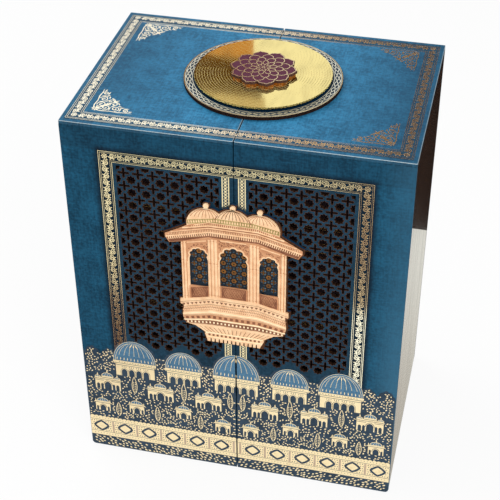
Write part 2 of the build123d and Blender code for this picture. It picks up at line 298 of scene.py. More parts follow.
def stroke_tree():
    """Motifs drawn as lines become raised strokes, half sunk in the board: half round, or flat as foil
    is where they have four sides."""
    grower = Grower("strokes", Width="Float", Rise="Float", Sides="Int", Finish="Material")
    lines = grower.node("GeometryNodeSetCurveNormal", {"mode": "Z_UP"}, {"Curve": grower.placed()})
    size = grower.node("ShaderNodeCombineXYZ", {}, {
        "X": Value(grower, grower.given["Width"]) * 0.5, "Y": grower.given["Rise"], "Z": 1.0,
    })
    ring = grower.node(
        "GeometryNodeCurvePrimitiveCircle", {"mode": "RADIUS"}, {"Resolution": grower.given["Sides"]}
    )
    flat = grower.node(
        "GeometryNodeCurvePrimitiveQuadrilateral", {"mode": "RECTANGLE"}, {"Width": 2.0, "Height": 2.0}
    )
    section = grower.node("GeometryNodeSwitch", {"input_type": "GEOMETRY"}, {
        "Switch": Value(grower, grower.given["Sides"]) < 5, "False": ring, "True": flat,
    })
    profile = grower.node("GeometryNodeTransform", {}, {"Geometry": section, "Scale": size})
    solid = grower.node("GeometryNodeCurveToMesh", {}, {
        "Curve": lines, "Profile Curve": profile, "Fill Caps": True,
        "Scale": grower.node("GeometryNodeInputRadius"),
    })
    grower.end(solid, grower.given["Finish"])
    return grower


def cut_tree():
    """Closed outlines become boards of one thickness; an outline inside another one is a hole, unless
    they are kept apart."""
    grower = Grower(
        "cuts", Thickness="Float", Apart="Int", Face="Material", Lining="Material", Edge="Material"
    )
    group = grower.node("ShaderNodeMath", {"operation": "MULTIPLY"}, {
        0: grower.node("GeometryNodeInputIndex"), 1: grower.given["Apart"],
    })
    sheet = grower.node(
        "GeometryNodeFillCurve", {"mode": "TRIANGLES"}, {"Curve": grower.placed(), "Group ID": group}
    )
    face = grower.node("GeometryNodeSetMaterial", {}, {"Geometry": sheet, "Material": grower.given["Face"]})
    raised = grower.node(
        "GeometryNodeExtrudeMesh", {"mode": "FACES"},
        {"Mesh": face, "Offset": (0, 0, 1), "Offset Scale": grower.given["Thickness"], "Individual": False},
    )
    back = grower.node("GeometryNodeFlipFaces", {}, {"Mesh": sheet})
    back = grower.node("GeometryNodeSetMaterial", {}, {"Geometry": back, "Material": grower.given["Lining"]})
    joined = grower.node("GeometryNodeJoinGeometry", {}, {0: raised.outputs["Mesh"]})
    grower.feed(joined.inputs[0], back)
    closed = grower.node("GeometryNodeMergeByDistance", {}, {"Geometry": joined, "Distance": weld_distance})
    grower.end(closed, grower.given["Edge"], raised.outputs["Side"])
    return grower


def repeat_tree():
    """Solid motifs are repeated as they are."""
    grower = Grower("repeats", Finish="Material")
    grower.end(grower.placed(), grower.given["Finish"])
    return grower


stroke_grower = stroke_tree()
cut_grower = cut_tree()
repeat_grower = repeat_tree()


class Place:
    """Where a copy of a motif lies on its sheet."""

    def __init__(self, x=0.0, y=0.0, turn=0.0, size=(1.0, 1.0), kind=0):
        self.at = (x, y, 0.0)
        self.turn = turn
        self.size = (*size, 1.0)
        self.kind = kind


class Line:
    """A run of points in millimetres.  Swell is its width along the run, as shares of the stroke's."""

    def __init__(self, points, closed=False, swell=None):
        self.points = points
        self.closed = closed
        self.swell = swell

    def moved(self, x=0.0, y=0.0, turn=0.0, flip=1.0):
        return Line(moved(self.points, x, y, turn, flip), self.closed, self.swell)

    def mirrored(self):
        return Line([(-x, y) for x, y in self.points], self.closed, self.swell)


def drawing(name, lines):
    """A curve object with all the lines."""
    curve = bpy.data.curves.new(name, "CURVE")
    curve.dimensions = "3D"
    for line in lines:
        spline = curve.splines.new("POLY")
        spline.points.add(len(line.points) - 1)
        spline.points.foreach_set("co", [part for x, y in line.points for part in (x, y, 0, 1)])
        spline.points.foreach_set("radius", line.swell or [1.0] * len(line.points))
        spline.use_cyclic_u = line.closed
    return bpy.data.objects.new(name, curve)


def grown(grower, motifs, places, sheet, **inputs):
    """The plain mesh that a tree grows from motifs on places, laid on its sheet."""
    if not places:
        places = [Place()]
    basket = bpy.data.collections.new("motifs")
    bpy.context.scene.collection.children.link(basket)
    for number, motif in enumerate(motifs):
        name = f"motif_{number:02d}"
        drawn = isinstance(motif, list)
        basket.objects.link(drawing(name, motif) if drawn else bpy.data.objects.new(name, motif))
    seeds = bpy.data.meshes.new("seeds")
    seeds.from_pydata([place.at for place in places], [], [])
    seeds.attributes.new("turn", "FLOAT", "POINT").data.foreach_set("value", [p.turn for p in places])
    seeds.attributes.new("kind", "INT", "POINT").data.foreach_set("value", [p.kind for p in places])
    sizes = [part for place in places for part in place.size]
    seeds.attributes.new("size", "FLOAT_VECTOR", "POINT").data.foreach_set("vector", sizes)
    carrier = bpy.data.objects.new("carrier", seeds)
    bpy.context.scene.collection.objects.link(carrier)
    modifier = carrier.modifiers.new("grow", "NODES")
    modifier.node_group = grower.tree
    for label, value in {"Motifs": basket, **inputs}.items():
        modifier[grower.sockets[label].identifier] = value
    bpy.context.view_layer.update()
    mesh = bpy.data.meshes.new_from_object(carrier.evaluated_get(bpy.context.evaluated_depsgraph_get()))
    carrier.modifiers.clear()
    for spent in [carrier, *basket.objects]:
        bpy.data.objects.remove(spent)
    bpy.data.collections.remove(basket)
    mesh.transform(sheet)
    return mesh


def strokes(lines, width, rise, finish, sheet, places=None, sides=6):
    """Raised lines of one width."""
    motifs = lines if places else [lines]
    return grown(stroke_grower, motifs, places, sheet, Width=width, Rise=rise, Sides=sides, Finish=finish)


def foil_lines(lines, width, rise, finish, sheet, places=None):
    """Flat lines of foil or ink."""
    return strokes(lines, width, rise, finish, sheet, places, 4)


def cuts(outlines, thickness, face, sheet, places=None, lining=None, edge=None):
    """A board, or a print as thin as foil, cut to closed outlines, with the other outlines as holes
    when it is placed by places."""
    motifs = outlines if places else [outlines]
    return grown(cut_grower, motifs, places, sheet, Thickness=thickness, Apart=0 if places else 1,
                 Face=face, Lining=lining or face, Edge=edge or face)


def repeats(motifs, places, finish, sheet):
    """Copies of solid motifs, which are drawn in millimetres."""
    return grown(repeat_grower, motifs, places, sheet, Finish=finish)


def plain(shape, material):
    """A bmesh as a mesh with one finish."""
    mesh = bpy.data.meshes.new("shape")
    shape.to_mesh(mesh)
    shape.free()
    mesh.materials.append(material)
    return mesh


def piece(name, parts, body, replaced=(), smooth=False):
    """One object from several meshes, each with its own finishes, on the body that carries it."""
    whole = bmesh.new()
    finishes = []
    for part in parts:
        start = len(whole.faces)
        whole.from_mesh(part)
        whole.faces.ensure_lookup_table()
        for material in part.materials:
            if material not in finishes:
                finishes.append(material)
        order = [finishes.index(material) for material in part.materials]
        for face in whole.faces[start:]:
            face.material_index = order[face.material_index]
    bmesh.ops.recalc_face_normals(whole, faces=whole.faces)
    mesh = bpy.data.meshes.new(name)
    whole.to_mesh(mesh)
    whole.free()
    for material in finishes:
        mesh.materials.append(material)
    mesh.polygons.foreach_set("use_smooth", [smooth] * len(mesh.polygons))
    made = bpy.data.objects.new(name, mesh)
    bpy.context.scene.collection.objects.link(made)
    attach(made, body)
    if replaced:
        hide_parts(*replaced)
    return made


def halves(name, parts, replaced=None):
    """A piece on the right shell, and its mirror image on the left one."""
    for side in ("right", "left"):
        if side == "left":
            for part in parts:
                part.transform(Matrix.Scale(-1, 4, (1, 0, 0)))
        piece(f"{side}_{name}", parts, f"{side}_shell", [f"{side}_{replaced}"] if replaced else [])


def turned(profile, middle, segments=48, notch=0.0):
    """A closed round shape from its half section in millimetres, given from the bottom middle to the
    top middle.  The notch is cut into every other step of the widest run."""
    shape = bmesh.new()
    widest = max(radius for radius, _ in profile)
    rings = []
    for radius, height in profile:
        if radius == 0:
            rings.append([shape.verts.new((middle[0], middle[1], height * MM))])
            continue
        ring = []
        for i in range(segments):
            reach = (radius - notch * (i % 2) * (radius > widest - notch)) * MM
            turn = 2 * math.pi * i / segments
            x, y = reach * math.cos(turn), reach * math.sin(turn)
            ring.append(shape.verts.new((middle[0] + x, middle[1] + y, height * MM)))
        rings.append(ring)
    for lower, upper in zip(rings, rings[1:]):
        for i in range(segments):
            corners = [lower[i % len(lower)], lower[(i + 1) % len(lower)],
                       upper[(i + 1) % len(upper)], upper[i % len(upper)]]
            shape.faces.new(list(dict.fromkeys(corners)))
    return shape


def motif_mesh(outline, rise, crown=0.55):
    """A small closed solid on an outline, with its top drawn in; the crown is the top's share."""
    shape = bmesh.new()
    count = len(outline)
    middle = Vector((sum(x for x, _ in outline) / count, sum(y for _, y in outline) / count, 0))
    foot = [shape.verts.new((x, y, 0)) for x, y in outline]
    top = [shape.verts.new(middle + (corner.co - middle) * crown + Vector((0, 0, rise))) for corner in foot]
    for i in range(count):
        shape.faces.new([foot[i], foot[(i + 1) % count], top[(i + 1) % count], top[i]])
    shape.faces.new(top)
    shape.faces.new(foot[::-1])
    mesh = bpy.data.meshes.new("motif")
    shape.to_mesh(mesh)
    shape.free()
    return mesh


def rounded_board(node, radius, material):
    """The box of a CAD board with its edges eased by this radius in millimetres."""
    low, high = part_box(node)
    shape = bmesh.new()
    size = Matrix.Diagonal((*(high - low), 1))
    bmesh.ops.create_cube(shape, size=1, matrix=Matrix.Translation((low + high) / 2) @ size)
    bmesh.ops.bevel(shape, geom=shape.edges[:], offset=radius * MM, segments=2, affect="EDGES", profile=0.5)
    return plain(shape, material)


# Lines and outlines of the drawings

def circle(x, y, radius, count=24):
    turns = [2 * math.pi * i / count for i in range(count)]
    return [(x + radius * math.cos(turn), y + radius * math.sin(turn)) for turn in turns]


def arc(x, y, radius, start, end, count=12, flat=1.0):
    """Part of a circle between two angles in degrees; flat shortens it upwards."""
    turns = [math.radians(start + (end - start) * i / count) for i in range(count + 1)]
    return [(x + radius * math.cos(turn), y + flat * radius * math.sin(turn)) for turn in turns]


def star(x, y, reach, waist, points, turn=0.0):
    """Points and notches in turn round a middle."""
    steps = [math.pi * i / points + turn for i in range(2 * points)]
    reaches = [reach, waist] * points
    return [(x + r * math.cos(step), y + r * math.sin(step)) for r, step in zip(reaches, steps)]


def box_line(x0, x1, y0, y1):
    return [(x0, y0), (x1, y0), (x1, y1), (x0, y1)]


def leaf(length, width, count=4):
    """A pointed leaf along the sheet's X axis, from the origin."""
    upper = [(length * i / count, width / 2 * math.sin(math.pi * i / count)) for i in range(count + 1)]
    lower = [(x, -y) for x, y in reversed(upper[1:-1])]
    return upper + lower


def spiral(x, y, outer, inner, start, turns, count=16):
    """A curl from its outer end inwards; start in degrees, a negative number of turns runs clockwise."""
    points = []
    for i in range(count + 1):
        share = i / count
        reach = outer + (inner - outer) * share
        turn = math.radians(start + 360 * turns * share)
        points.append((x + reach * math.cos(turn), y + reach * math.sin(turn)))
    return points


def moved(points, x=0.0, y=0.0, turn=0.0, flip=1.0):
    """The same points, mirrored upwards if flip is -1, then turned by degrees and moved."""
    angle = math.radians(turn)
    cosine, sine = math.cos(angle), math.sin(angle)
    return [(x + px * cosine - flip * py * sine, y + px * sine + flip * py * cosine) for px, py in points]


def tapered(count, thick=1.0, thin=0.3):
    """Widths along a stroke that starts thick and ends thin."""
    return [thick + (thin - thick) * i / (count - 1) for i in range(count)]


def petal(x0, y0, x1, y1, fat=1.6):
    """A short stroke that is fat in its middle."""
    return Line([(x0, y0), ((x0 + x1) / 2, (y0 + y1) / 2), (x1, y1)], swell=[0.4, fat, 0.25])


def both(lines):
    """Lines of the right half with their mirror images."""
    return lines + [line.mirrored() for line in lines]


def whole(right):
    """A closed outline from its right half, which runs from the bottom up."""
    return Line(right + [(-x, y) for x, y in reversed(right) if x > 0], True)


def along(path, pitch):
    """Places every pitch along a run of points, with the direction there in radians."""
    places = []
    left = pitch / 2
    for (x0, y0), (x1, y1) in zip(path, path[1:]):
        length = math.hypot(x1 - x0, y1 - y0)
        turn = math.atan2(y1 - y0, x1 - x0)
        while left <= length:
            share = left / length
            places.append((x0 + (x1 - x0) * share, y0 + (y1 - y0) * share, turn))
            left += pitch
        left -= length
    return places


# Finishes

def darker(color, share):
    """A colour with its levels cut to a share."""
    return (*[level * share for level in color[:3]], 1.0)


def cloth(finish):
    """The streaks of a brushed cloth, along and across, and its mottled tone from 0 to 1."""
    weave = finish.noise(0.9, 3, (14, 1, 1)) * 0.5 + finish.noise(0.9, 3, (1, 14, 14)) * 0.5
    blotches, flecks = finish.noise(16, 4), finish.noise(2.0, 2)
    return weave, (weave * 0.42 + blotches * 0.28 + flecks * 0.3).fade(0.34, 0.66)


def covering(finish, color, weave, roughness=0.5, specular=0.2):
    """Ends a printed covering, which is a little rough with its weave."""
    return finish.done(color, roughness + weave * 0.12, specular=specular, bump=weave, bump_depth=0.05)


def edge_blue(finish, tone):
    """The blue of the covering where it is turned round an edge."""
    return finish.mix(tone, rgb(20, 54, 74), rgb(34, 84, 110))


def scorch(finish, dark, bright):
    """The streaks that a laser leaves on a cut edge, and their colour."""
    streaks = finish.noise(0.7, 3)
    return streaks, finish.mix(streaks.fade(0.35, 0.7), dark, bright)


def lining_color(finish):
    """Dark paper with a small gilt flower and a dot in turn."""
    flower_reach, flower_waist, dot_reach = 1.9, 0.3, 0.6
    x, y, z = finish.axes()
    to_side, _, to_top = finish.facing()
    across = x + (y - x) * (abs(to_side) > 0.5)
    up = z + (y - z) * (abs(to_top) > 0.5)
    ground = finish.mix(finish.noise(0.5, 4), rgb(24, 17, 20), rgb(44, 29, 34))
    a, b = across.from_nearest(lining_pitch), up.from_nearest(lining_pitch)
    flower = (abs(a) * abs(b) < flower_waist) * ((a * a + b * b).root() < flower_reach)
    a, b = [(way + lining_pitch / 2).from_nearest(lining_pitch) for way in (across, up)]
    dot = (a * a + b * b).root() < dot_reach
    return finish.mix(flower.larger(dot) * 0.7, ground, rgb(150, 112, 62))


def lining_paper():
    """Printed paper on the inner faces."""
    finish = Finish("lining_paper")
    return finish.done(lining_color(finish), 0.7, specular=0.2, bump=finish.noise(0.5, 3), bump_depth=0.04)


def streaked(name, dark, bright):
    """Printed covering with the streaks of a brushed cloth."""
    finish = Finish(name)
    weave, tone = cloth(finish)
    speck = finish.noise(0.45, 1).fade(0.62, 0.78) * 0.25
    color = finish.mix(speck, finish.mix(tone, dark, bright), dark)
    return covering(finish, color, weave, 0.44)


def back_print():
    """The covering of the back, lined on its inner face."""
    finish = Finish("back_print")
    weave, tone = cloth(finish)
    outer = finish.axes()[1] > half_depth - skin
    color = finish.mix(outer, lining_color(finish), finish.mix(tone, rgb(26, 62, 84), rgb(40, 88, 114)))
    return covering(finish, color, weave, specular=0.15)


def top_print():
    """The covering of the top: its upward face painted brighter than its turned edges, as light falls on it
    from overhead, with painted shade outwards that is strongest at the right end, darker under the foil,
    near-white where the eased edges turn upward, the front's blue round its edges, and lined below."""
    finish = Finish("top_print")
    weave, tone = cloth(finish)
    up = finish.facing()[2]
    level = up.fade(0.85, 0.98)
    edge = finish.mix(up.fade(0.2, 0.5) * (1 - level) * 0.9, edge_blue(finish, tone), rgb(214, 228, 230))
    x, y, _ = finish.axes()
    inset = (half_width - abs(x)).smaller(half_depth - abs(y))
    # Painted shade: darker near the edges and towards both ends, and most towards the right end.
    painted_falloff = ((1 - inset.fade(4, 20)) * 0.45).larger(abs(x).fade(30, 118) * 0.72).larger(x.fade(70, 116) * 0.95)
    # The upward face is painted a brighter blue than the turned edges, for the light that falls on it.
    above = finish.mix(tone, rgb(28, 84, 116), rgb(54, 130, 172))
    above = finish.mix(painted_falloff, above, finish.mix(tone, rgb(16, 58, 84), rgb(30, 86, 116)))
    under_foil = (inset > top_insets[0] - 0.3) * (inset < top_insets[-1] + 0.3)
    above = finish.mix(under_foil * 0.75, above, finish.mix(tone, rgb(20, 44, 60), rgb(34, 66, 86)))
    color = finish.mix(up < -0.5, finish.mix(level, edge, above), lining_color(finish))
    return covering(finish, color, weave, 0.48)


def worn(finish):
    """How far foil is worn, in spots."""
    return finish.noise(5, 3).fade(0.55, 0.75) * 0.6


def pressed(finish, color, roughness, metallic):
    """Ends a foil, with the fine marks of the press."""
    grain = finish.noise(0.6, 3)
    return finish.done(color, roughness + grain * 0.12, metallic=metallic, bump=grain, bump_depth=0.02)


def foil(name, color, shade, roughness=0.28, metallic=0.92):
    """Hot foil, shaded where it is worn."""
    finish = Finish(name)
    return pressed(finish, finish.mix(worn(finish), color, shade), roughness, metallic)


def netting_foil():
    """The foil round the medallion, with worn spots and painted shade towards the front."""
    finish = Finish("ring_foil")
    x, y, _ = finish.axes()
    # Worn spots, and painted shade towards the front.
    dull = worn(finish).larger(1 - (y - x * 0.4).fade(-56, -24))
    return pressed(finish, finish.mix(dull, rgb(232, 232, 214), rgb(184, 176, 148)), 0.28, 0.4)


def satin_foil():
    """The foil of the top, with painted reflections: cream and less metallic at the left, warmer bright metal
    towards the right.
    """
    finish = Finish("satin_foil")
    # Painted reflections: cream and less metallic at the left, warm metal towards the right.
    right = finish.axes()[0].fade(-50, 60)
    color = finish.mix(worn(finish), rgb(250, 242, 216), rgb(228, 214, 180))
    return pressed(finish, finish.mix(right, color, rgb(226, 190, 142)), 0.2, right * 0.76 + 0.22)


def border_foil():
    """The foil of the front border: bright gold, with painted reflections: pale at the foot of the right
    side, darker along the top, and browner at the upper right and at the foot of the left side."""
    finish = Finish("border_foil")
    x, _, z = finish.axes()
    right, left, sides = [way.fade(84, 90) for way in (x, x * -1, abs(x))]
    upper = z.fade(176, 194)
    # Painted bright reflection at the foot of the right side: paler and less metallic.
    pale = right * (1 - upper)
    color = finish.mix(worn(finish), rgb(250, 234, 184), rgb(218, 190, 134))
    # Painted reflections: browner at the upper right, darker along the top, browner at the foot of the left
    # side.
    color = finish.mix(right * upper * 0.45, color, rgb(150, 112, 76))
    color = finish.mix(z.fade(284, 288) * (1 - sides) * 0.4, color, rgb(136, 134, 104))
    color = finish.mix(left * (1 - z.fade(150, 190)) * 0.35, color, rgb(150, 100, 66))
    return pressed(finish, finish.mix(pale * 0.9, color, rgb(255, 250, 220)), 0.18, 0.92 - pale * 0.8)


def cut_edge(name, dark, bright):
    """The scorched, streaky edge that a laser leaves on board."""
    finish = Finish(name)
    streaks, color = scorch(finish, dark, bright)
    return finish.done(color, 0.75, specular=0.15, bump=streaks, bump_depth=0.08)


def pierced_edge():
    """Scorched inside the holes; blue covering round the outside of the panel."""
    finish = Finish("pierced_edge")
    x, _, z = finish.axes()
    x = abs(x)
    tone = cloth(finish)[1]
    corner = (x > half_width - panel_corner - 0.1) * (z < panel_foot + panel_corner + 0.1)
    outer = (x > half_width - 0.3).larger(x < seam_x + 0.2).larger(z > panel_head - 0.3)
    outer = outer.larger(z < panel_foot + 0.3).larger(corner)
    streaks, burnt = scorch(finish, rgb(16, 10, 8), rgb(66, 42, 28))
    color = finish.mix(outer, burnt, edge_blue(finish, tone))
    return finish.done(color, 0.65, specular=0.15, bump=streaks, bump_depth=0.06)


def front_cloth():
    """The printed face of a front panel: blue outside, with a painted highlight towards the lower right and
    painted shade along the strip above the border, a dark shade round and under the border, and navy in the
    lattice's field."""
    finish = Finish("front_print")
    x, _, z = finish.axes()
    weave, tone = cloth(finish)
    outer = finish.mix(tone, rgb(10, 48, 68), rgb(26, 82, 110))
    shade = finish.mix(tone, rgb(4, 18, 29), rgb(10, 30, 45))
    field = finish.mix(tone, rgb(15, 38, 52), rgb(30, 62, 82))
    beyond = (abs(x) - border_outer).larger(z - border_top)
    outer = finish.mix((1 - beyond.fade(-0.5, 5.0)) * 0.95, outer, shade)
    # Painted shade along the strip above the border.
    outer = finish.mix((z > border_top) * 0.3, outer, shade)
    # Painted highlight: paler towards the right edge, and most towards its foot.
    outer = finish.mix(x.fade(97, 125) * (0.7 - z.fade(90, 260) * 0.35), outer, rgb(58, 104, 130))
    inside = (abs(x) < border_inner) * (z < field_top)
    return covering(finish, finish.mix(inside, outer, field), weave, specular=0.08)


def veneer():
    """Dark brown veneer with upright grain under a deep gloss; the inner face is lined."""
    finish = Finish("dark_veneer")
    outer = abs(finish.axes()[0]) > half_width - skin
    grain = finish.noise(0.7, 4, (1, 1, 60))
    broad = finish.noise(9, 3, (1, 1, 12))
    tone = (grain * 0.6 + broad * 0.4).fade(0.3, 0.72)
    wood = finish.mix(tone, rgb(34, 20, 14), rgb(86, 58, 40))
    color = finish.mix(outer, lining_color(finish), wood)
    return finish.done(color, 0.7 - outer * (0.4 - grain * 0.2), specular=0.1,
                       coat=outer * (0.66 + tone * 0.3), coat_roughness=0.02, bump=grain, bump_depth=0.004)


def stone(name, dark, bright):
    """Printed sandstone: warm, blotched, a little gritty."""
    finish = Finish(name)
    grit = finish.noise(0.5, 3)
    tone = (grit * 0.45 + finish.noise(6, 3) * 0.55).fade(0.32, 0.68)
    return finish.done(finish.mix(tone, dark, bright), 0.62, specular=0.25, bump=grit, bump_depth=0.12)


def layered(name, face, edge, roughness=0.12, specular=0.5):
    """Cut board or acrylic lying flat: a smooth face and scorched edges."""
    finish = Finish(name)
    marks = finish.noise(0.8, 3, (1, 1, 6))
    side = finish.mix(marks.fade(0.3, 0.7), edge, darker(edge, 0.35))
    top = finish.mix(finish.noise(7, 3) * 0.5, face, darker(face, 0.8))
    flat = abs(finish.facing()[2]).fade(0.5, 0.8)
    return finish.done(finish.mix(flat, side, top), roughness + (1 - flat) * 0.4, specular=specular,
                       bump=marks * (1 - flat), bump_depth=0.06)


def metal(name, color, roughness=0.25):
    """Plated metal with faint brushing."""
    finish = Finish(name)
    lines = finish.noise(0.25, 2, (1, 1, 12))
    dull = finish.noise(4, 3).fade(0.5, 0.8)
    tinted = finish.mix(dull * 0.25, color, darker(color, 0.6))
    return finish.done(tinted, roughness + lines * 0.15 + dull * 0.1, metallic=1.0,
                       bump=lines, bump_depth=0.01)


def mirror(name, color):
    """Polished metallised acrylic with faint smears."""
    finish = Finish(name)
    smears = finish.noise(9, 3, (1, 3, 1))
    smeared = finish.mix(smears.fade(0.4, 0.7), color, darker(color, 0.86))
    return finish.done(smeared, 0.03 + smears * 0.05, metallic=1.0)


def paper(name, dark, bright, roughness=0.6, metallic=0.0):
    """Covering paper with a soft fibre."""
    finish = Finish(name)
    fibre = finish.noise(0.5, 4, (1, 1, 3))
    tone = (fibre * 0.5 + finish.noise(12, 3) * 0.5).fade(0.35, 0.65)
    return finish.done(finish.mix(tone, dark, bright), roughness + fibre * 0.15, metallic=metallic,
                       specular=0.3, bump=fibre, bump_depth=0.05)


def felt():
    """Pressed wool."""
    finish = Finish("felt")
    fluff = finish.noise(0.35, 5)
    return finish.done(finish.mix(fluff, rgb(14, 18, 24), rgb(36, 42, 52)), 0.95, specular=0.1,
                       sheen=0.3, bump=fluff, bump_depth=0.4)


def foam():
    """Black foam tape with small cells."""
    finish = Finish("mounting_tape")
    cells = finish.node("ShaderNodeTexVoronoi", {}, {"Vector": finish.place, "Scale": 2500.0})
    height = Value(finish, cells.outputs["Distance"])
    return finish.done(finish.mix(height, rgb(20, 20, 20), rgb(48, 48, 48)), 0.9, specular=0.2,
                       bump=height, bump_depth=0.1)


# Lattice and border, as the front panels are cut: millimetres from the seam and from the table

lattice_pitch_x = 10.66
lattice_pitch_z = 10.95
lattice_columns = 7
lattice_seam_margin = 10.7
lattice_top = top_z / MM - 31.6
star_reach = 3.6
star_waist = 2.72
cross_reach = 4.35
cross_arm = 0.8
cross_tip = 0.7
border_outer = 98.2
border_inner = 87.8
border_top = 296.6
field_top = 287.4
band_outer = 8.2
band_inner = 3.6
lining_pitch = 9.0
skin = 0.6
top_insets = (3.5, 4.7, 12.1, 13.3)

# Printed frieze and its roofs, as the front panels leave them closed
frieze_height = 118.0
frieze_ridge = 0.92 * frieze_height
roof_shares = [(0.0, 0.15, 1.05), (0.34, 0.12, 1.0), (0.66, 0.14, 1.03)]
roofs = [(middle * half_width, half * half_width, top * frieze_height) for middle, half, top in roof_shares]


def skyline(x):
    """Height of the frieze's closed roofs at this place across the front."""
    height = frieze_ridge
    for middle, half, top in roofs:
        away = (abs(x) - middle) / half
        if abs(away) < 1:
            height = max(height, frieze_ridge + (top - frieze_ridge) * math.sqrt(1 - away**2))
    return height


blue_top = top_print()
blue_back = back_print()
front_print = front_cloth()
scorched = cut_edge("scorched_edge", rgb(26, 17, 13), rgb(84, 56, 38))
lining = lining_paper()
border_gilt = border_foil()
pale_foil = foil("pale_foil", rgb(244, 224, 176), rgb(222, 194, 140), 0.12)
ring_foil = netting_foil()
top_sheen_foil = satin_foil()
antique_foil = foil("antique_foil", rgb(178, 140, 80), rgb(140, 104, 56), 0.34)
scorched_rim = cut_edge("scorched_rim", rgb(40, 26, 20), rgb(92, 62, 46))
dark_veneer = veneer()
core_board = streaked("core_board", rgb(16, 40, 60), rgb(26, 58, 84))
slate_print = streaked("slate_print", rgb(30, 46, 60), rgb(50, 70, 88))
sky_print = streaked("sky_print", rgb(58, 98, 126), rgb(82, 124, 152))
stone_light = stone("stone_light", rgb(230, 182, 138), rgb(249, 213, 171))
stone_mid = stone("stone_mid", rgb(184, 126, 88), rgb(212, 158, 116))
stone_dark = stone("stone_dark", rgb(104, 60, 38), rgb(146, 94, 66))
stone_shade = stone("stone_shade", rgb(150, 96, 64), rgb(184, 130, 94))
stone_bright = stone("stone_bright", rgb(250, 222, 176), rgb(255, 236, 200))
olive_print = stone("olive_print", rgb(136, 116, 66), rgb(182, 158, 100))
amber_print = stone("amber_print", rgb(92, 56, 12), rgb(140, 88, 22))
cream_print = foil("cream_print", rgb(250, 230, 184), rgb(232, 206, 156), 0.44, 0.45)
bar_print = stone("bar_print", rgb(176, 154, 132), rgb(204, 180, 152))
window_navy = streaked("window_navy", rgb(7, 20, 30), rgb(15, 36, 50))
jali_blue = streaked("jali_blue", rgb(62, 84, 98), rgb(104, 124, 134))
jali_dark = paper("jali_dark", rgb(6, 5, 5), rgb(18, 13, 11))
gilt_mirror = mirror("gilt_mirror", rgb(248, 229, 152))
rosette_edge_finish = cut_edge("rosette_edge", rgb(52, 34, 30), rgb(96, 66, 56))
purple_face = layered("purple_acrylic", rgb(82, 34, 55), rgb(70, 46, 38), 0.45, 0.15)
amber_face = layered("amber_acrylic", rgb(186, 112, 26), rgb(164, 94, 20))
brass = metal("brass", rgb(222, 178, 96))
steel = metal("magnet_steel", rgb(190, 192, 196), 0.2)
plum_paper = paper("drawer_paper", rgb(26, 14, 20), rgb(42, 24, 32))
gilt_card = paper("tray_board", rgb(186, 150, 88), rgb(214, 182, 118), 0.45, 0.35)
cream_card = paper("divider_card", rgb(206, 180, 136), rgb(232, 210, 170))

for node, material in {
    "base_felt": felt(),
    "medallion_tape": foam(), "balcony_tape": foam(),
    "outer_back_panel": blue_back, "left_back_strip": blue_back, "right_back_strip": blue_back,
    "left_side_panel": dark_veneer, "right_side_panel": dark_veneer,
    "left_meeting_stile": lining, "right_meeting_stile": lining,
    "left_magnets": steel, "right_magnets": steel,
    "medallion_base": layered("medallion_board", rgb(8, 36, 58), rgb(44, 28, 22), 0.45, 0.1),
    "medallion_spacer": scorched,
    "rosette_upper_layer": purple_face, "rosette_lower_layer": amber_face,
    "balcony_plate": layered("balcony_board", rgb(24, 52, 76), rgb(96, 60, 38), 0.45, 0.15),
}.items():
    nodes[node].data.materials[0] = material

for name, node in nodes.items():
    if "hinge" in name or name.endswith("knob"):
        node.data.materials[0] = brass
    elif name.startswith(("chest", "base_board")):
        node.data.materials[0] = core_board
    elif name.startswith("drawer"):
        kind = name.split("_")[-1]
        node.data.materials[0] = {"tray": gilt_card, "front": plum_paper, "dividers": cream_card}[kind]
    elif name.startswith("balcony") and name not in ("balcony_plate", "balcony_tape"):
        node.data.materials[0] = stone_light if name in ("balcony_domes", "balcony_parapet") else stone_mid


# Pierced front panels

def panel_outline():
    """The right panel with its rounded lower corner."""
    foot = arc(half_width - panel_corner, panel_foot + panel_corner, panel_corner, -90, 0, 6)
    return Line([(seam_x, panel_foot), *foot, (half_width, panel_head), (seam_x, panel_head)], True)


def lattice_star(start=0, end=16, grown_by=0.0):
    """A star hole, or the part of it between two of its corners and the middle line."""
    corners = star(0, 0, star_reach + grown_by, star_waist + grown_by, 8)
    return Line([corners[i % 16] for i in range(start, end)], True)


def lattice_cross(grown_by=0.0):
    """A slender cross with pointed arms."""
    half, reach = cross_arm + grown_by, cross_reach + grown_by
    arm = [(half, half), (reach - cross_tip, half), (reach, 0), (reach - cross_tip, -half)]
    return Line([point for quarter in range(4) for point in moved(arm, turn=-90 * quarter)], True)


def is_behind_balcony(x, z):
    return nodes["balcony_plate"].ray_cast(Vector((x * MM, -1, z * MM)), Vector((0, 1, 0)))[0]


def is_open(x, z, reach):
    """True for a hole that clears the frieze and isn't wholly behind the balcony."""
    edges = [(x - reach, z), (x + reach, z), (x, z - reach), (x, z + reach)]
    clear = z - reach > max(skyline(edge_x) for edge_x, _ in edges) - 0.01
    return clear and not all(is_behind_balcony(*edge) for edge in edges)


def lattice_places():
    """Whole stars, half stars along the field's edges, and crosses half a pitch off, for the right half."""
    places = []
    rows = math.ceil((lattice_top - frieze_ridge) / lattice_pitch_z) + 1
    for column in range(lattice_columns + 1):
        for row in range(rows):
            x = lattice_seam_margin + column * lattice_pitch_x
            z = lattice_top - row * lattice_pitch_z
            if not is_open(x, z, star_reach):
                continue
            first, last = column == 0, column == lattice_columns
            if row == 0:
                kind, turn = (4, -math.pi / 2) if first else (4, math.pi) if last else (3, math.pi)
            else:
                kind, turn = (3, -math.pi / 2) if first else (3, math.pi / 2) if last else (1, 0.0)
            places.append(Place(x, z, turn, kind=kind))
    for column in range(lattice_columns):
        for row in range(rows):
            x = lattice_seam_margin + (column + 0.5) * lattice_pitch_x
            z = lattice_top - (row + 0.5) * lattice_pitch_z
            if is_open(x, z, cross_reach):
                places.append(Place(x, z, kind=2))
    return places


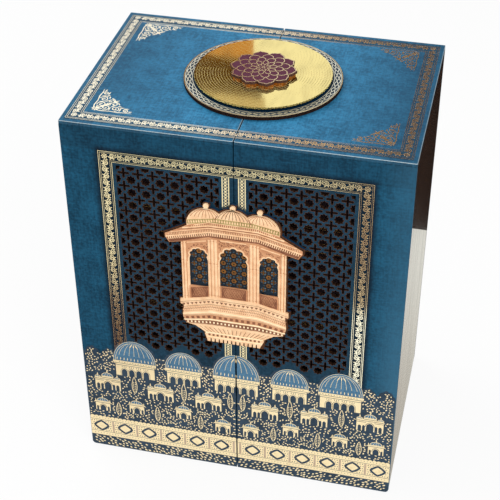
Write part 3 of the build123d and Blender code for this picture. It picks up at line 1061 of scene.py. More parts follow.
quarter_star = Line([(0, 0), *lattice_star(0, 5).points], True)
hole_motifs = [[panel_outline()], [lattice_star()], [lattice_cross()], [lattice_star(0, 9)], [quarter_star]]
pierced = cuts(hole_motifs, panel_thickness, front_print, front_sheet(panel_high.y),
               [Place(), *lattice_places()], lining, pierced_edge())

# Scorched rims round the holes, as wide as twice their reach past the edge
rim_grow = 0.16
rim_motifs = [
    [lattice_star(0, 16, rim_grow)], [lattice_cross(rim_grow)],
    [lattice_star(0, 9, rim_grow)], [lattice_star(0, 5, rim_grow)],
]
rim_places = lattice_places()
for place in rim_places:
    place.kind -= 1
hole_rims = foil_lines(rim_motifs, 2 * rim_grow, 0.03, scorched_rim, front_sheet(front_y), rim_places)
halves("pierced_front", [pierced, hole_rims], "front_panel")


# Foil borders: a wavy stem with curls between thin lines

scroll_pitch = 11.2
foil_rise = 0.06


def scroll_wave():
    """One wave of the stem, with a curl under each crest and leaves out to the band's edges."""
    steps = 16
    stem = [(scroll_pitch * i / steps, 1.2 * math.sin(2 * math.pi * i / steps)) for i in range(steps + 1)]
    lines = [Line(stem)]
    for share, side in ((0.25, 1), (0.75, -1)):
        x = share * scroll_pitch
        curl = spiral(x, -side * 0.5, 1.95, 0.25, 180, side * 1.45, 18)
        lines.append(Line(curl, swell=tapered(19, 1.0, 1.3)))
        for lean in (-1, 1):
            lines.append(petal(x + lean * 0.8, side * 1.3, x + lean * 1.6, side * 2.6))
        lines.append(petal(x - 2.8, -side * 0.6, x - 2.7, -side * 2.5))
    return lines


def corner_flower(reach=2.5):
    """A small flower of eight petals round a ring."""
    ends = circle(0, 0, 1, 8)
    return [Line(circle(0, 0, 0.5, 8), True)] + [petal(0.9 * x, 0.9 * y, reach * x, reach * y, 1.7)
                                                 for x, y in ends]


def scroll_run(start, end):
    """Places of whole waves that fill the way between two points."""
    (x0, y0), (x1, y1) = start, end
    length = math.hypot(x1 - x0, y1 - y0)
    count = max(1, round(length / scroll_pitch))
    turn = math.atan2(y1 - y0, x1 - x0)
    size = (length / count / scroll_pitch, 1.0)
    return [Place(x0 + (x1 - x0) * i / count, y0 + (y1 - y0) * i / count, turn, size)
            for i in range(count)]


bead = motif_mesh(circle(0, 0, 0.5, 7), 0.08)
front_face = front_sheet(front_y)
stem_x, stem_z = 93.2, 292
flower_room = 2.8
scroll_places = [
    *scroll_run((seam_x, stem_z), (stem_x - flower_room, stem_z)),
    *scroll_run((stem_x, stem_z - flower_room), (stem_x, frieze_ridge)),
    Place(stem_x, stem_z, kind=1),
]


def border_line(x, z, foot):
    """A line of the border: along the top from the seam, round the corner and down the side."""
    return Line([(seam_x, z), (x, z), (x, foot)])


border_lines = [border_line(97.7, 296.0, 104), border_line(88.1, 287.6, frieze_ridge - 1)]
fine_lines = [border_line(96.6, 294.9, 106), border_line(89.3, 288.7, frieze_ridge - 1)]

# The band beside the seam: two lines with beads between them, one large and two small in turn
band_lines = [Line([(x, field_top), (x, frieze_ridge)]) for x in (band_outer, band_inner)]
band_middle = (band_outer + band_inner) / 2
bead_top, bead_step, bead_rows = 286.6, 1.3, 136
bead_places = [Place(band_middle + lean, bead_top - bead_step * i, size=(size, size))
               for i in range(bead_rows)
               for lean, size in (((0, 2.0),) if i % 2 else ((1.0, 1.0), (-1.0, 1.0)))]
halves("front_foil", [
    foil_lines([scroll_wave(), corner_flower()], 0.62, foil_rise, border_gilt, front_face, scroll_places),
    foil_lines(border_lines, 0.5, foil_rise, border_gilt, front_face),
    foil_lines(fine_lines, 0.32, foil_rise, border_gilt, front_face),
    foil_lines(band_lines, 0.8, foil_rise, border_gilt, front_face),
    repeats([bead], bead_places, border_gilt, front_face),
])

# Foil on the top: a scroll between paired lines, and a spray in each corner

top_face = top_sheet(top_z)


def top_frame(inset_x, inset_y):
    """Half of a frame line, this far in from the top's edges."""
    x, y = half_width - inset_x, half_depth - inset_y
    return Line([(seam_x, -y), (x, -y), (x, y), (seam_x, y)])


def corner_spray():
    """A spray for an inner corner at the origin, which opens along +X and +Y."""
    half = [
        Line([(2.5, 1.2), (8, 0.5), (14, 1.1), (20, 0.5), (25, 1.1), (30, 0.9)],
             swell=[1, 1.3, 1, 1.3, 1, 0.4]),
        Line(spiral(9.2, 5.4, 3.5, 0.5, 250, 1.4, 20), swell=tapered(21, 1.0, 1.4)),
        Line(spiral(16.6, 4.9, 3.3, 0.5, 280, 1.4, 20), swell=tapered(21, 1.0, 1.4)),
        Line(spiral(24.4, 3.6, 2.3, 0.4, 270, 1.3, 16), swell=tapered(17, 1.0, 1.4)),
        Line(spiral(14.4, 10.8, 3.0, 0.4, 200, -1.3, 18), swell=tapered(19, 1.0, 1.4)),
        Line([(5, 5), (8, 9), (11.4, 10.8)], swell=[1.2, 1.6, 1.0]),
        petal(12.6, 2.2, 12.9, 6.4), petal(12.9, 6.4, 15.6, 9.6), petal(20.4, 2.0, 20.8, 6.6),
        petal(17.6, 8.8, 20.8, 8.2), petal(26.8, 2.4, 29.6, 3.4), petal(19.8, 6.0, 22.8, 7.6),
        petal(13.0, 14.0, 17.4, 13.0), petal(3.2, 3.4, 4.4, 6.2), petal(22.4, 6.0, 26.6, 6.6),
        petal(16.8, 12.8, 18.6, 10.2), petal(9.6, 8.8, 12.2, 9.4), petal(6.4, 2.4, 7.4, 4.2),
    ]
    swapped = [Line([(y, x) for x, y in line.points], line.closed, line.swell) for line in half]
    flower = [line.moved(3.0, 3.0) for line in corner_flower(3.2)]
    tip = [petal(12.2, 12.2, 16.6, 16.6, 2.0), petal(8.6, 8.6, 11.8, 11.8, 1.8)]
    return half + swapped + flower + tip


spray_x, spray_near, spray_far = 107.6, -66.4, 69.2
scroll_x = half_width - 8.4
scroll_near, scroll_far = 9.6 - half_depth, half_depth - 8.2
top_flower_room = 3
scroll_end = scroll_x - top_flower_room
top_places = [
    *scroll_run((seam_x, scroll_near), (scroll_end, scroll_near)),
    *scroll_run((scroll_x, scroll_near + top_flower_room), (scroll_x, scroll_far - top_flower_room)),
    *scroll_run((seam_x, scroll_far), (scroll_end, scroll_far)),
    Place(scroll_x, scroll_near, kind=1),
    Place(scroll_x, scroll_far, kind=1),
    Place(spray_x, spray_near, math.pi / 2, kind=2),
    Place(spray_x, spray_far, math.pi, kind=2),
]
top_motifs = [scroll_wave(), corner_flower(), corner_spray()]
top_lines = [top_frame(inset, inset + 1.2) for inset in top_insets]
halves("top_foil", [
    foil_lines(top_motifs, 0.66, foil_rise, top_sheen_foil, top_face, top_places),
    foil_lines(top_lines, 0.36, foil_rise, top_sheen_foil, top_face),
])

for side in ("left", "right"):
    board = rounded_board(f"{side}_top_panel", 0.45, blue_top)
    piece(f"{side}_top", [board], f"{side}_shell", [f"{side}_top_panel"])

# Medallion: a ring of foil netting, a guilloche plate and a rosette

plate_low, plate_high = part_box("medallion_gilt_plate")
ring_low, ring_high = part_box("medallion_base")
rosette_low, rosette_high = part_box("rosette_upper_layer")
medallion_middle = (plate_low + plate_high) / 2
ring_radius = (ring_high.x - ring_low.x) / 2 / MM
plate_radius = (plate_high.x - plate_low.x) / 2 / MM
rosette_radius = (rosette_high.x - rosette_low.x) / 2 / MM
rosette_petals = 10


def medallion_sheet(z):
    return Matrix.Translation((medallion_middle.x, medallion_middle.y, 0)) @ top_sheet(z)


def swirl(start_reach, end_reach, start, sweep, count=10):
    """A curve from one reach to another while it turns through the sweep, both in degrees."""
    points = []
    for i in range(count + 1):
        share = i / count
        turn = math.radians(start + sweep * share)
        reach = start_reach + (end_reach - start_reach) * share
        points.append((reach * math.cos(turn), reach * math.sin(turn)))
    return points


net_count = 40
net_step = 360 / net_count
netting = [Line(swirl(52.3, 56.2, net_step * i, way * 1.5 * net_step, 3))
           for i in range(net_count) for way in (-1, 1)]
net_rims = [Line(circle(0, 0, reach, 96), True) for reach in (51.6, 56.7)]
outer_rim = [Line(circle(0, 0, ring_radius - 0.45, 96), True)]
ring_sheet = medallion_sheet(ring_high.z)
piece("medallion_netting", [
    foil_lines(netting, 0.56, foil_rise, ring_foil, ring_sheet),
    foil_lines(net_rims, 0.42, foil_rise, ring_foil, ring_sheet),
    foil_lines(outer_rim, 0.5, 0.08, pale_foil, ring_sheet),
], "left_shell")

groove_pitch = 1.95
groove_width = 0.2
groove_drop = 0.08
engraving_count = 72
plate_foot = plate_low.z / MM
engraved_top = plate_high.z / MM
section = [(0, plate_foot), (plate_radius - 0.4, plate_foot), (plate_radius, plate_foot + 0.3)]
for ring in range(int(plate_radius / groove_pitch)):
    reach = plate_radius - 0.1 - ring * groove_pitch
    land = reach - groove_pitch + groove_width
    groove = (land - groove_width / 2, engraved_top - groove_drop)
    section += [(reach, engraved_top), (land, engraved_top), groove]
section.append((0, engraved_top))
guilloche = turned(section, medallion_middle, 240, notch=0.45)
engraving = [
    Line(swirl(plate_radius - 1.2, 20, 360 / engraving_count * i, way * 52, 16), swell=tapered(17, 1.0, 0.7))
    for i in range(engraving_count) for way in (-1, 1)
]
piece("medallion_guilloche", [
    plain(guilloche, gilt_mirror),
    strokes(engraving, 0.15, 0.06, gilt_mirror, medallion_sheet(plate_high.z - 0.04 * MM), sides=5),
], "left_shell", ["medallion_gilt_plate"])


def petal_ring(notch, reach, turn, petals=rosette_petals, steps=6, tip=1.04):
    """An outline of round petals with slightly pointed tips that meet in notches."""
    points = []
    for k in range(petals):
        for i in range(steps):
            share = i / steps * 2 - 1
            spread = 180 / petals * share
            bow = math.cos(math.pi / 2 * share) ** 0.55
            far = notch + (reach - notch) * bow * (tip if i == steps // 2 else 1.0)
            far = min(far, rosette_radius)
            angle = math.radians(turn + 360 / petals * k + spread)
            points.append((far * math.cos(angle), far * math.sin(angle)))
    return points


def drawn_in(line, share):
    """A closed line, drawn in towards the middle to a share of its size."""
    return Line([(share * x, share * y) for x, y in line.points], True)


line_rise = 0.12
rosette_top = rosette_high.z - line_rise * MM
rosette_edge = Line(petal_ring(0.82 * rosette_radius, 0.955 * rosette_radius, 0, steps=8, tip=1.33), True)
half_petal = 180 / rosette_petals
rosette_lines = [
    drawn_in(rosette_edge, 0.972),
    Line(petal_ring(14.0, 19.2, half_petal, tip=1.07), True),
    Line(petal_ring(9.6, 14.8, 0, tip=1.09), True),
    Line(petal_ring(5.6, 10.0, half_petal, tip=1.1), True),
    Line(petal_ring(2.4, 5.8, 0, tip=1.12), True),
    Line(circle(0, 0, 1.1, 10), True),
]
upper_thickness = (rosette_top - rosette_low.z) / MM
upper_sheet = medallion_sheet(rosette_low.z)
piece("rosette", [
    cuts([rosette_edge], upper_thickness, purple_face, upper_sheet, edge=rosette_edge_finish),
    foil_lines(rosette_lines, 0.5, line_rise, pale_foil, medallion_sheet(rosette_top)),
], "left_shell", ["rosette_upper_layer"])
under_low, under_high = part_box("rosette_lower_layer")
under_thickness = (under_high.z - under_low.z) / MM
piece("rosette_underlay", [
    cuts([drawn_in(rosette_edge, 0.955)], under_thickness, amber_face, medallion_sheet(under_low.z)),
], "left_shell", ["rosette_lower_layer"])

# Balcony: courses, columns, cusped rims and lattice in relief on the layers of the frame

wall_y, parapet_y, dome_y, plate_y, relief_limit, corbel_y = [
    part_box(f"balcony_{layer}")[0].y for layer in ("arcade", "parapet", "domes", "plate", "eave", "corbel")
]
eave_y = relief_limit + 0.6 * MM
plate_sheet = front_sheet(plate_y)


def course(middle_z, side_z, reach, bend=18.0):
    """A line that runs level over the middle bay and slopes away over the side bays."""
    return [(-reach, side_z), (-bend, middle_z), (bend, middle_z), (reach, side_z)]


def ledge(middle_z, side_z, reach):
    return Line(course(middle_z, side_z, reach))


def band(upper, lower):
    """The closed shape between two courses."""
    return Line(lower + upper[::-1], True)


def row(path, pitch, kind=0, size=(1.0, 1.0)):
    """Places in step along a course, turned with it."""
    return [Place(x, z, turn, size, kind) for x, z, turn in along(path, pitch)]


def block(width, height, rise=0.35, crown=0.8):
    return motif_mesh(box_line(-width / 2, width / 2, -height / 2, height / 2), rise, crown)


def carved(name, parts, replaced=()):
    """A piece of the balcony."""
    piece(name, parts, "left_shell", replaced)


eave_outline = whole([
    (0, 236.5), (18.5, 236), (38.5, 229.5), (47.5, 227.4), (50.5, 232), (50.5, 235),
    (38, 242), (33.5, 245), (20.2, 249.5), (0, 251),
])
eave_sheet = front_sheet(eave_y)
soffit_foot = [(-47.2, 227.9), (-38.5, 229.8), (-18.5, 236.3), (18.5, 236.3), (38.5, 229.8), (47.2, 227.9)]
soffit = band(course(240.2, 231.9, 49.4), soffit_foot)
tile_ribs = [Line([(x, z - 0.9), (x + 0.25 * (x > 0) - 0.12, z + 0.9)])
             for x, z, _ in along(course(242.2, 234.6, 48.4), 1.25)]
roof_ribs = [Line([(x, z - 0.8), (x, z + 0.8)]) for x, z, _ in along(course(247.9, 243.9, 31), 1.5)]
tile_shades = [
    band(course(243.6, 236.0, 47.0), course(241.2, 232.9, 49.0)),
    band(course(248.9, 245.0, 29.5), course(246.9, 242.6, 35.5)),
]
carved("balcony_eave_relief", [
    cuts([eave_outline], (plate_y - eave_y) / MM, stone_mid, plate_sheet, edge=scorched),
    cuts([soffit], 0.06, stone_dark, eave_sheet),
    strokes([ledge(240.6, 232.2, 49.9)], 1.3, 0.55, stone_light, eave_sheet),
    strokes([ledge(244.2, 236.6, 46.2), ledge(249.3, 245.6, 28.5)], 0.8, 0.4, stone_light, eave_sheet),
    strokes([ledge(246.3, 241.6, 37.2)], 1.3, 0.45, stone_light, eave_sheet),
    strokes([ledge(245.2, 239.9, 41)], 0.4, 0.2, stone_dark, eave_sheet),
    strokes(tile_ribs + roof_ribs, 0.55, 0.3, stone_light, eave_sheet),
    repeats([block(0.85, 2.3)], row(course(238.7, 230.9, 48.6), 1.62), stone_light, eave_sheet),
    cuts(tile_shades, 0.04, stone_shade, eave_sheet),
], ["balcony_eave"])

# Domes: middle, half width and rise of each one, as the frame has them
dome_foot = 246.9
middle_dome = (0.0, 14.0, 15.0)
side_dome = (19.5, 14.5, 13.5)
dome_ribs = []
for middle, half, rise in (middle_dome, side_dome):
    for step in range(-4, 5):
        lean = step / 4.5
        rib = []
        for i in range(7):
            t = math.radians(28 + 58 * i / 6)
            x, z = middle + lean * half * math.cos(t), dome_foot + rise * math.sin(t)
            if middle == 0 or x > 11 - (z - 254) * 0.1:
                rib.append((x, z))
        if len(rib) > 2:
            dome_ribs.append(Line(rib))
dome_meet = [(x, dome_foot + middle_dome[2] * math.sqrt(1 - (x / middle_dome[1]) ** 2))
             for x in (13.2, 12.6, 12.0, 11.4, 10.8)]
petal_path = [(-33.2, 248.0), (-14, 251.6), (14, 251.6), (33.2, 248.0)]
finial_lines = [Line([(x - half, z + up), (x + half, z + up)])
                for x, z in ((0.0, 262.2), (19.5, 261.0)) for half, up in ((1.8, 0), (1.3, 0.9))]
dome_sheet = front_sheet(dome_y)

# Finials: the middle and the foot of each, and how far its neck and its bud reach to a side
bud_feet = ((0.0, 261.65), (19.5, 260.25), (-19.5, 260.25))
neck_reach, bud_reach, neck_top = 3.4, 4.6, 262.3
bud_share = 0.64


def small_buds(node):
    """A layer of the balcony with its three finials made smaller, down to where they meet the domes."""
    shape = bmesh.new()
    shape.from_mesh(nodes[node].data)
    bmesh.ops.remove_doubles(shape, verts=shape.verts, dist=1e-6)
    for corner in shape.verts:
        reach = bud_reach if corner.co.z > neck_top * MM else neck_reach
        for middle, foot in bud_feet:
            across, up = corner.co.x - middle * MM, corner.co.z - foot * MM
            if up > 0 and abs(across) < reach * MM:
                corner.co.x -= across * (1 - bud_share)
                corner.co.z -= up * (1 - bud_share)
    return plain(shape, nodes[node].data.materials[0])


carved("balcony_roof", [small_buds("balcony_domes")], ["balcony_domes"])
carved("balcony_board", [small_buds("balcony_plate")], ["balcony_plate"])
petal_leaf = motif_mesh([(-0.5, -1.3), (0.5, -1.3), (0.6, 0.3), (0, 1.5), (-0.6, 0.3)], 0.25, 0.6)
olive_band = band(course(253.4, 249.6, 33.6, 14), course(249.6, 246.0, 33.6, 14))
carved("balcony_dome_relief", [
    strokes(both(dome_ribs), 0.42, 0.12, stone_shade, dome_sheet),
    strokes(both([Line(dome_meet)]), 0.6, 0.2, stone_dark, dome_sheet),
    cuts([olive_band], 0.05, olive_print, dome_sheet),
    repeats([petal_leaf], row(petal_path, 1.9), stone_light, dome_sheet),
    strokes(both(finial_lines), 0.5, 0.35, stone_bright, dome_sheet),
    strokes(both([line.moved(0, -0.5) for line in finial_lines]), 0.3, 0.12, stone_dark, dome_sheet),
])

# Arcade: windows as middle, half width, sill and spring
windows = [(0.0, 10.35, 192.5, 218.6), (26.0, 7.02, 190.0, 217.95), (-26.0, 7.02, 190.0, 217.95)]
cusps = 5
cusp_share = 0.27
cusp_sweep = 62


def cusped_rim(x, half, spring, grow):
    """The scalloped edge of a window's arch, grown outwards."""
    cusp = cusp_share * half
    reach = half - cusp
    points = []
    for k in range(cusps):
        middle = 180 / cusps * (k + 0.5)
        turn = math.radians(middle)
        lobe = (x + reach * math.cos(turn), spring + reach * math.sin(turn))
        points += arc(*lobe, cusp + grow, middle - cusp_sweep, middle + cusp_sweep, 5)
    return [(x + half + grow, spring - 3), *points, (x - half - grow, spring - 3)]


# Columns of the right half: middle, foot, head and width
columns = [
    (38.3, 176.5, 229.0, 1.3), (36.2, 176.5, 230.0, 1.9), (34.3, 177.0, 212.0, 1.0),
    (18.0, 181.5, 234.0, 1.7), (15.6, 181.5, 234.6, 2.2), (13.1, 181.5, 234.6, 2.2),
    (11.2, 181.5, 213.0, 1.0),
]
column_lines = {}
for x, foot, head, width in columns:
    column_lines.setdefault(width, []).append(Line([(x, foot), (x, head)]))
collars = [Line([(x - width / 2, z), (x + width / 2, z)]) for x, _, head, width in columns
           for z in (213.0, 183.5 if x < 30 else 179.5, head - 1.5) if z < head]
wall_sheet = front_sheet(wall_y)
rim_lines = [Line(cusped_rim(x, half, spring, 0.5)) for x, half, _, spring in windows]
jambs = [Line([(x + way * (half + 0.5), sill), (x + way * (half + 0.5), spring - 3)])
         for x, half, sill, spring in windows for way in (-1, 1)]
bay_heads = [Line([(-9.6, 234.3), (9.6, 234.3)]), *both([Line([(20.0, 232.6), (34.5, 229.0)])])]
carving = random.Random(11)
spandrel = []
for x, half, _, spring in windows:
    for _ in range(240 if x == 0 else 120):
        px = x + carving.uniform(-half - 0.6, half + 0.6)
        pz = spring + carving.uniform(-1, 15.2 if x == 0 else 12 - 0.22 * (abs(px) - 20))
        far = math.hypot(px - x, pz - spring)
        if far > half + 1.9 and all(math.hypot(px - p.at[0], pz - p.at[1]) > 0.85 for p in spandrel):
            spandrel.append(Place(px, pz, carving.uniform(0, 3), (1.3, 0.8)))
railings = [
    Line([(-9.4, 182.2), (9.4, 182.2), (9.4, 192.3), (-9.4, 192.3)], True),
    *both([Line([(19.4, 181.2), (32.6, 178.3), (32.6, 188.2), (19.4, 191.0)], True)]),
]
railing_net = []
net_pitch, net_lean = 1.2, 3
for middle, drop, half in ((0.0, 0.0, 9.2), (26.0, -2.5, 6.4), (-26.0, -2.5, 6.4)):
    for way in (-1, 1):
        for i in range(int(half / net_pitch) * 2 - 1):
            x = middle - half + net_pitch * i + net_pitch
            if middle - half < x + way * net_lean < middle + half:
                railing_net.append(Line([(x, 183 + drop), (x + way * net_lean, 191.5 + drop)]))
carved("balcony_arcade_relief", [
    *[strokes(both(lines), width, 0.7, stone_light, wall_sheet, sides=8)
      for width, lines in column_lines.items()],
    strokes(both(collars), 0.5, 0.75, stone_mid, wall_sheet),
    strokes(rim_lines + jambs, 1.25, 0.5, stone_light, wall_sheet),
    strokes(bay_heads, 1.1, 0.45, stone_light, wall_sheet),
    repeats([bead], spandrel, stone_dark, wall_sheet),
    cuts(railings, 0.1, stone_dark, wall_sheet),
    strokes(railing_net, 0.3, 0.22, stone_mid, wall_sheet),
    strokes(railings, 0.5, 0.3, stone_mid, wall_sheet),
])

# The jali behind the windows, on the plate: rings in step, and crosses half a step off
pane_outlines = [Line(box_line(x - half - 0.5, x + half + 0.5, sill - 0.5, spring + half), True)
                 for x, half, sill, spring in windows]
jali_pitch = 7.75
disc_columns = (-7.7, 0.0, 7.7, -25.8, 25.8)
cross_columns = (-11.55, -3.85, 3.85, 11.55, -29.65, -21.95, 21.95, 29.65)
disc_places = [Place(x, 221.8 - jali_pitch * k) for x in disc_columns for k in range(4)]
cross_places = [Place(x, 225.7 - jali_pitch * k, kind=1) for x in cross_columns for k in range(5)]
jali_ring = [Line(circle(0, 0, 2.75, 8), True)]
jali_cross = [Line([(-2.6, 0), (2.6, 0)]), Line([(0, -2.6), (0, 2.6)])]
amber_bars = [Line([(0.8 * x, 0.8 * z) for x, z in line.points]) for line in jali_cross]
ring_glints = [Line(arc(0, 0, 3.3, turn - 10, turn + 10, 2)) for turn in range(0, 360, 45)]
cross_glints = [Line(arc(0, 0, 1.7, turn - 22, turn + 22, 2)) for turn in range(45, 360, 90)]
gold_disc = motif_mesh(star(0, 0, 2.35, 1.75, 6), 0.12, 0.85)
disc_hole = motif_mesh(star(0, 0, 0.9, 0.5, 4, math.pi / 4), 0.03, 1.0)
jali_places = disc_places + cross_places
bar_places = [Place(*place.at[:2]) for place in cross_places]
piece("balcony_jali", [
    cuts(pane_outlines, 0.05, window_navy, plate_sheet),
    strokes([jali_ring, jali_cross], 1.3, 0.14, jali_dark, plate_sheet, jali_places),
    foil_lines([amber_bars], 0.5, 0.17, amber_print, plate_sheet, bar_places),
    foil_lines([ring_glints, cross_glints], 0.34, 0.2, jali_blue, plate_sheet, jali_places),
    repeats([gold_disc], disc_places, amber_print, plate_sheet),
    repeats([disc_hole], disc_places, jali_dark, front_sheet(plate_y - 0.12 * MM)),
], "left_shell")

parapet_sheet = front_sheet(parapet_y)
small_hole = block(2.3, 2.5, 0.04, 1.0)
scallop = motif_mesh([(-1.3, 0.9), (0, -1.1), (1.3, 0.9)], 0.04, 1.0)
tooth = block(1.3, 1.7, 0.28, 0.8)
moulding = [ledge(167.2, 162.0, 39.4), ledge(159.8, 156.4, 38.9)]
scored = [ledge(179.0, 173.0, 40.8), ledge(174.4, 168.4, 40.2), ledge(172.0, 166.2, 39.6),
          ledge(165.2, 160.2, 39.4), ledge(154.8, 153.6, 36.6)]
teeth_shade = band(course(158.9, 155.6, 38.5), course(155.2, 154.0, 37.0))
hole_band = band(course(164.6, 160.0, 38.8), course(160.6, 156.9, 38.4))
slants = [Line([(x - 0.5, z - 1.5), (x + 0.5, z + 1.5)])
          for x, z, _ in along(course(172.2, 166.4, 39.6), 1.35)]
carved("balcony_parapet_relief", [
    strokes([ledge(181.0, 175.2, 41.0)], 1.3, 0.29, stone_light, parapet_sheet),
    strokes(moulding, 0.9, 0.28, stone_bright, parapet_sheet),
    strokes(scored, 0.35, 0.1, stone_dark, parapet_sheet),
    cuts([teeth_shade], 0.05, stone_dark, parapet_sheet),
    cuts([hole_band], 0.02, stone_mid, parapet_sheet),
    strokes(slants, 0.4, 0.14, stone_mid, parapet_sheet),
    repeats([scallop], row(course(176.8, 171.0, 40.0), 3.3), stone_dark, parapet_sheet),
    repeats([small_hole], row(course(162.4, 158.2, 38.2), 4.3), stone_dark, parapet_sheet),
    repeats([tooth], row(course(157.0, 154.9, 37.2), 2.9), stone_bright, parapet_sheet),
    repeats([bead], row(course(169.6, 164.2, 39.4), 1.6, size=(1.2, 1.2)), stone_mid, parapet_sheet),
])

teeth = 13
corbel_edge = []
for i in range(teeth):
    x = -20.8 + 3.2 * i
    corbel_edge += [(x, 138), (x + 2.0, 138)] + ([(x + 2.2, 141), (x + 3.0, 141)] if i < teeth - 1 else [])
corbel_edge += [(23, 145.5), (22, 146.1), (30, 152), (-30, 152), (-22, 146.1), (-23, 145.5)]
flutes = [Line([(21.5 * k / 8, 147.2), (29.0 * k / 8, 152.2)], swell=[0.7, 1.0]) for k in range(-8, 9)]
flute_shade = [Line([(21.5 * k / 8 + 1.35, 147.2), (29.0 * k / 8 + 1.8, 152.2)]) for k in range(-8, 8)]
corbel_sheet = front_sheet(corbel_y)
corbel_depth = (plate_y - corbel_y) / MM
carved("balcony_corbel_relief", [
    cuts([Line(corbel_edge, True)], corbel_depth, stone_light, plate_sheet, edge=scorched),
    strokes(flutes, 2.2, 0.35, stone_light, corbel_sheet),
    strokes(flute_shade, 0.4, 0.12, stone_dark, corbel_sheet),
    strokes([Line([(-22.3, 146.6), (22.3, 146.6)])], 1.1, 0.5, stone_bright, corbel_sheet),
    strokes([Line([(-21.6, 142.6), (21.6, 142.6)])], 0.7, 0.4, stone_bright, corbel_sheet),
    repeats([small_hole], row([(-21.0, 144.6), (21.0, 144.6)], 3.2, size=(0.7, 0.7)),
            stone_dark, corbel_sheet),
], ["balcony_corbel"])

# Printed frieze: ribbed domes over arcades, gateways and kiosks in a garden of leaves


def pointed_arch(x, foot, spring, half, steps=4):
    """A pointed arch from its left foot to its right one."""
    turns = [math.radians(180 - 73.4 * i / steps) for i in range(steps + 1)]
    left = [(x + 0.4 * half + 1.4 * half * math.cos(t), spring + 1.4 * half * math.sin(t)) for t in turns]
    right = [(2 * x - px, pz) for px, pz in reversed(left[:-1])]
    return [(x - half, foot), *left, *right, (x + half, foot)]


def wall(x0, x1, foot, head, arches):
    """A wall with open arches: middle, half width and spring of each."""
    edge = [(x0, foot)]
    for x, half, spring in arches:
        edge += pointed_arch(x, foot, spring, half)
    return Line([*edge, (x1, foot), (x1, head), (x0, head)], True)


def half_round(x, foot, half, rise, steps=10):
    return arc(x, foot, half, 180, 0, steps, rise / half)


def level_line(x, z, half):
    return Line([(x - half, z), (x + half, z)])


def lotus_dome(x, foot, half, rise):
    """The cream lines of a ribbed dome: rims, ribs, petals round its foot and a bud under its top."""
    lines = [Line(half_round(x, foot, share * half, share * rise, 16), swell=[0.6] * 17)
             for share in (0.985, 0.9)]
    for k in range(-3, 4):
        turns = [math.radians(18 + 9 * i) for i in range(7)]
        rib = [(x + 0.25 * k * half * math.cos(t), foot + 0.9 * rise * math.sin(t)) for t in turns]
        lines.append(Line(rib, swell=tapered(7, 0.6, 0.35)))
    foot_petals = [(0.165 * k, 0.03, 0.16 * k, 0.17, 1.5) for k in range(-5, 6)]
    bud_petals = [(lean, 0.66, 0.3 * lean, 0.86, 2.0) for lean in (-0.2, 0, 0.2)]
    for x0, z0, x1, z1, fat in foot_petals + bud_petals:
        lines.append(petal(x + x0 * half, foot + z0 * rise, x + x1 * half, foot + z1 * rise, fat))
    return lines


def kiosk():
    """A small pavilion as fills and lines: cream walls, slate-blue dome, cream rims, slate lines."""
    half, height, foot = 7.0, 8.2, 8.2 + 1.6
    arches = [(-half + 2.4, 0.85, 3.6), (0, 2.4, 3.0), (half - 2.4, 0.85, 3.6)]
    walls = [
        wall(-half + 0.8, half - 0.8, 0, height, arches),
        Line([(-half - 1.0, height), (half + 1.0, height), (half - 0.4, foot), (-half + 0.4, foot)], True),
    ]
    dome_half = half * 0.72
    dome = half_round(0, foot, dome_half, dome_half * 0.8)
    rims = [Line(dome), level_line(0, foot + 0.5, dome_half)]
    rims += [petal(0, foot + dome_half * 0.75, 0, foot + dome_half * 0.8 + 3.0, 2.2)]
    rims += [Line([(x, foot), (x * 0.45, foot + dome_half * 0.74)], swell=[0.7, 0.4]) for x in (-2.4, 0, 2.4)]
    rims += [petal(way * (half - 1), foot - 0.2, way * (half - 1), foot + 2.4, 2.0) for way in (-1, 1)]
    ink = [level_line(0, height + 0.25, half + 0.2), Line(pointed_arch(0, 0.4, 3.0, 3.1)[1:-1])]
    return walls, [Line(dome, True)], rims, ink


def gateway():
    """A larger gate with side wings and three domes."""
    arches = [(-8.1, 1.35, 4.2), (-4.9, 1.1, 4.6), (0, 2.9, 4.6), (4.9, 1.1, 4.6), (8.1, 1.35, 4.2)]
    walls = [
        wall(-10.6, 10.6, 0, 10.4, arches),
        Line([(-11.8, 10.4), (11.8, 10.4), (10.4, 12.2), (-10.4, 12.2)], True),
        Line([(-5.4, 12.2), (5.4, 12.2), (4.8, 13.8), (-4.8, 13.8)], True),
    ]
    domes = [(0, 13.8, 4.9, (-2.6, 0, 2.6)), (-8.2, 12.2, 2.4, (0,)), (8.2, 12.2, 2.4, (0,))]
    fills, rims = [], []
    for x, foot, half, leans in domes:
        dome = half_round(x, foot, half, 0.85 * half)
        fills.append(Line(dome, True))
        rims += [Line(dome), level_line(x, foot + 0.4, half)]
        rims += [petal(x, foot + 0.8 * half, x, foot + 0.85 * half + 2.8, 2.2)]
        rims += [Line([(x + lean, foot), (x + lean * 0.4, foot + 0.8 * half)], swell=[0.8, 0.4])
                 for lean in leans]
    ink = [level_line(0, 10.8, 11.2), level_line(0, 12.5, 5), level_line(-6.8, 9.3, 3.6),
           level_line(6.8, 9.3, 3.6), Line(pointed_arch(0, 0.4, 4.6, 3.6)[1:-1])]
    return walls, fills, rims, ink


def cypress(height=15.0):
    """A slim tree: a rim and short rows of leaves."""
    rim = []
    for i in range(13):
        share = i / 12
        rim.append((2.5 * math.sin(math.pi * share) ** 0.7 * (1 - 0.35 * share), height * share))
    lines = both([Line(rim)])
    for i in range(1, 7):
        lines += [petal(way * 0.3, 1.9 * i, way * 1.4, 1.9 * i + 1.3, 1.5) for way in (-1, 1)]
    return lines


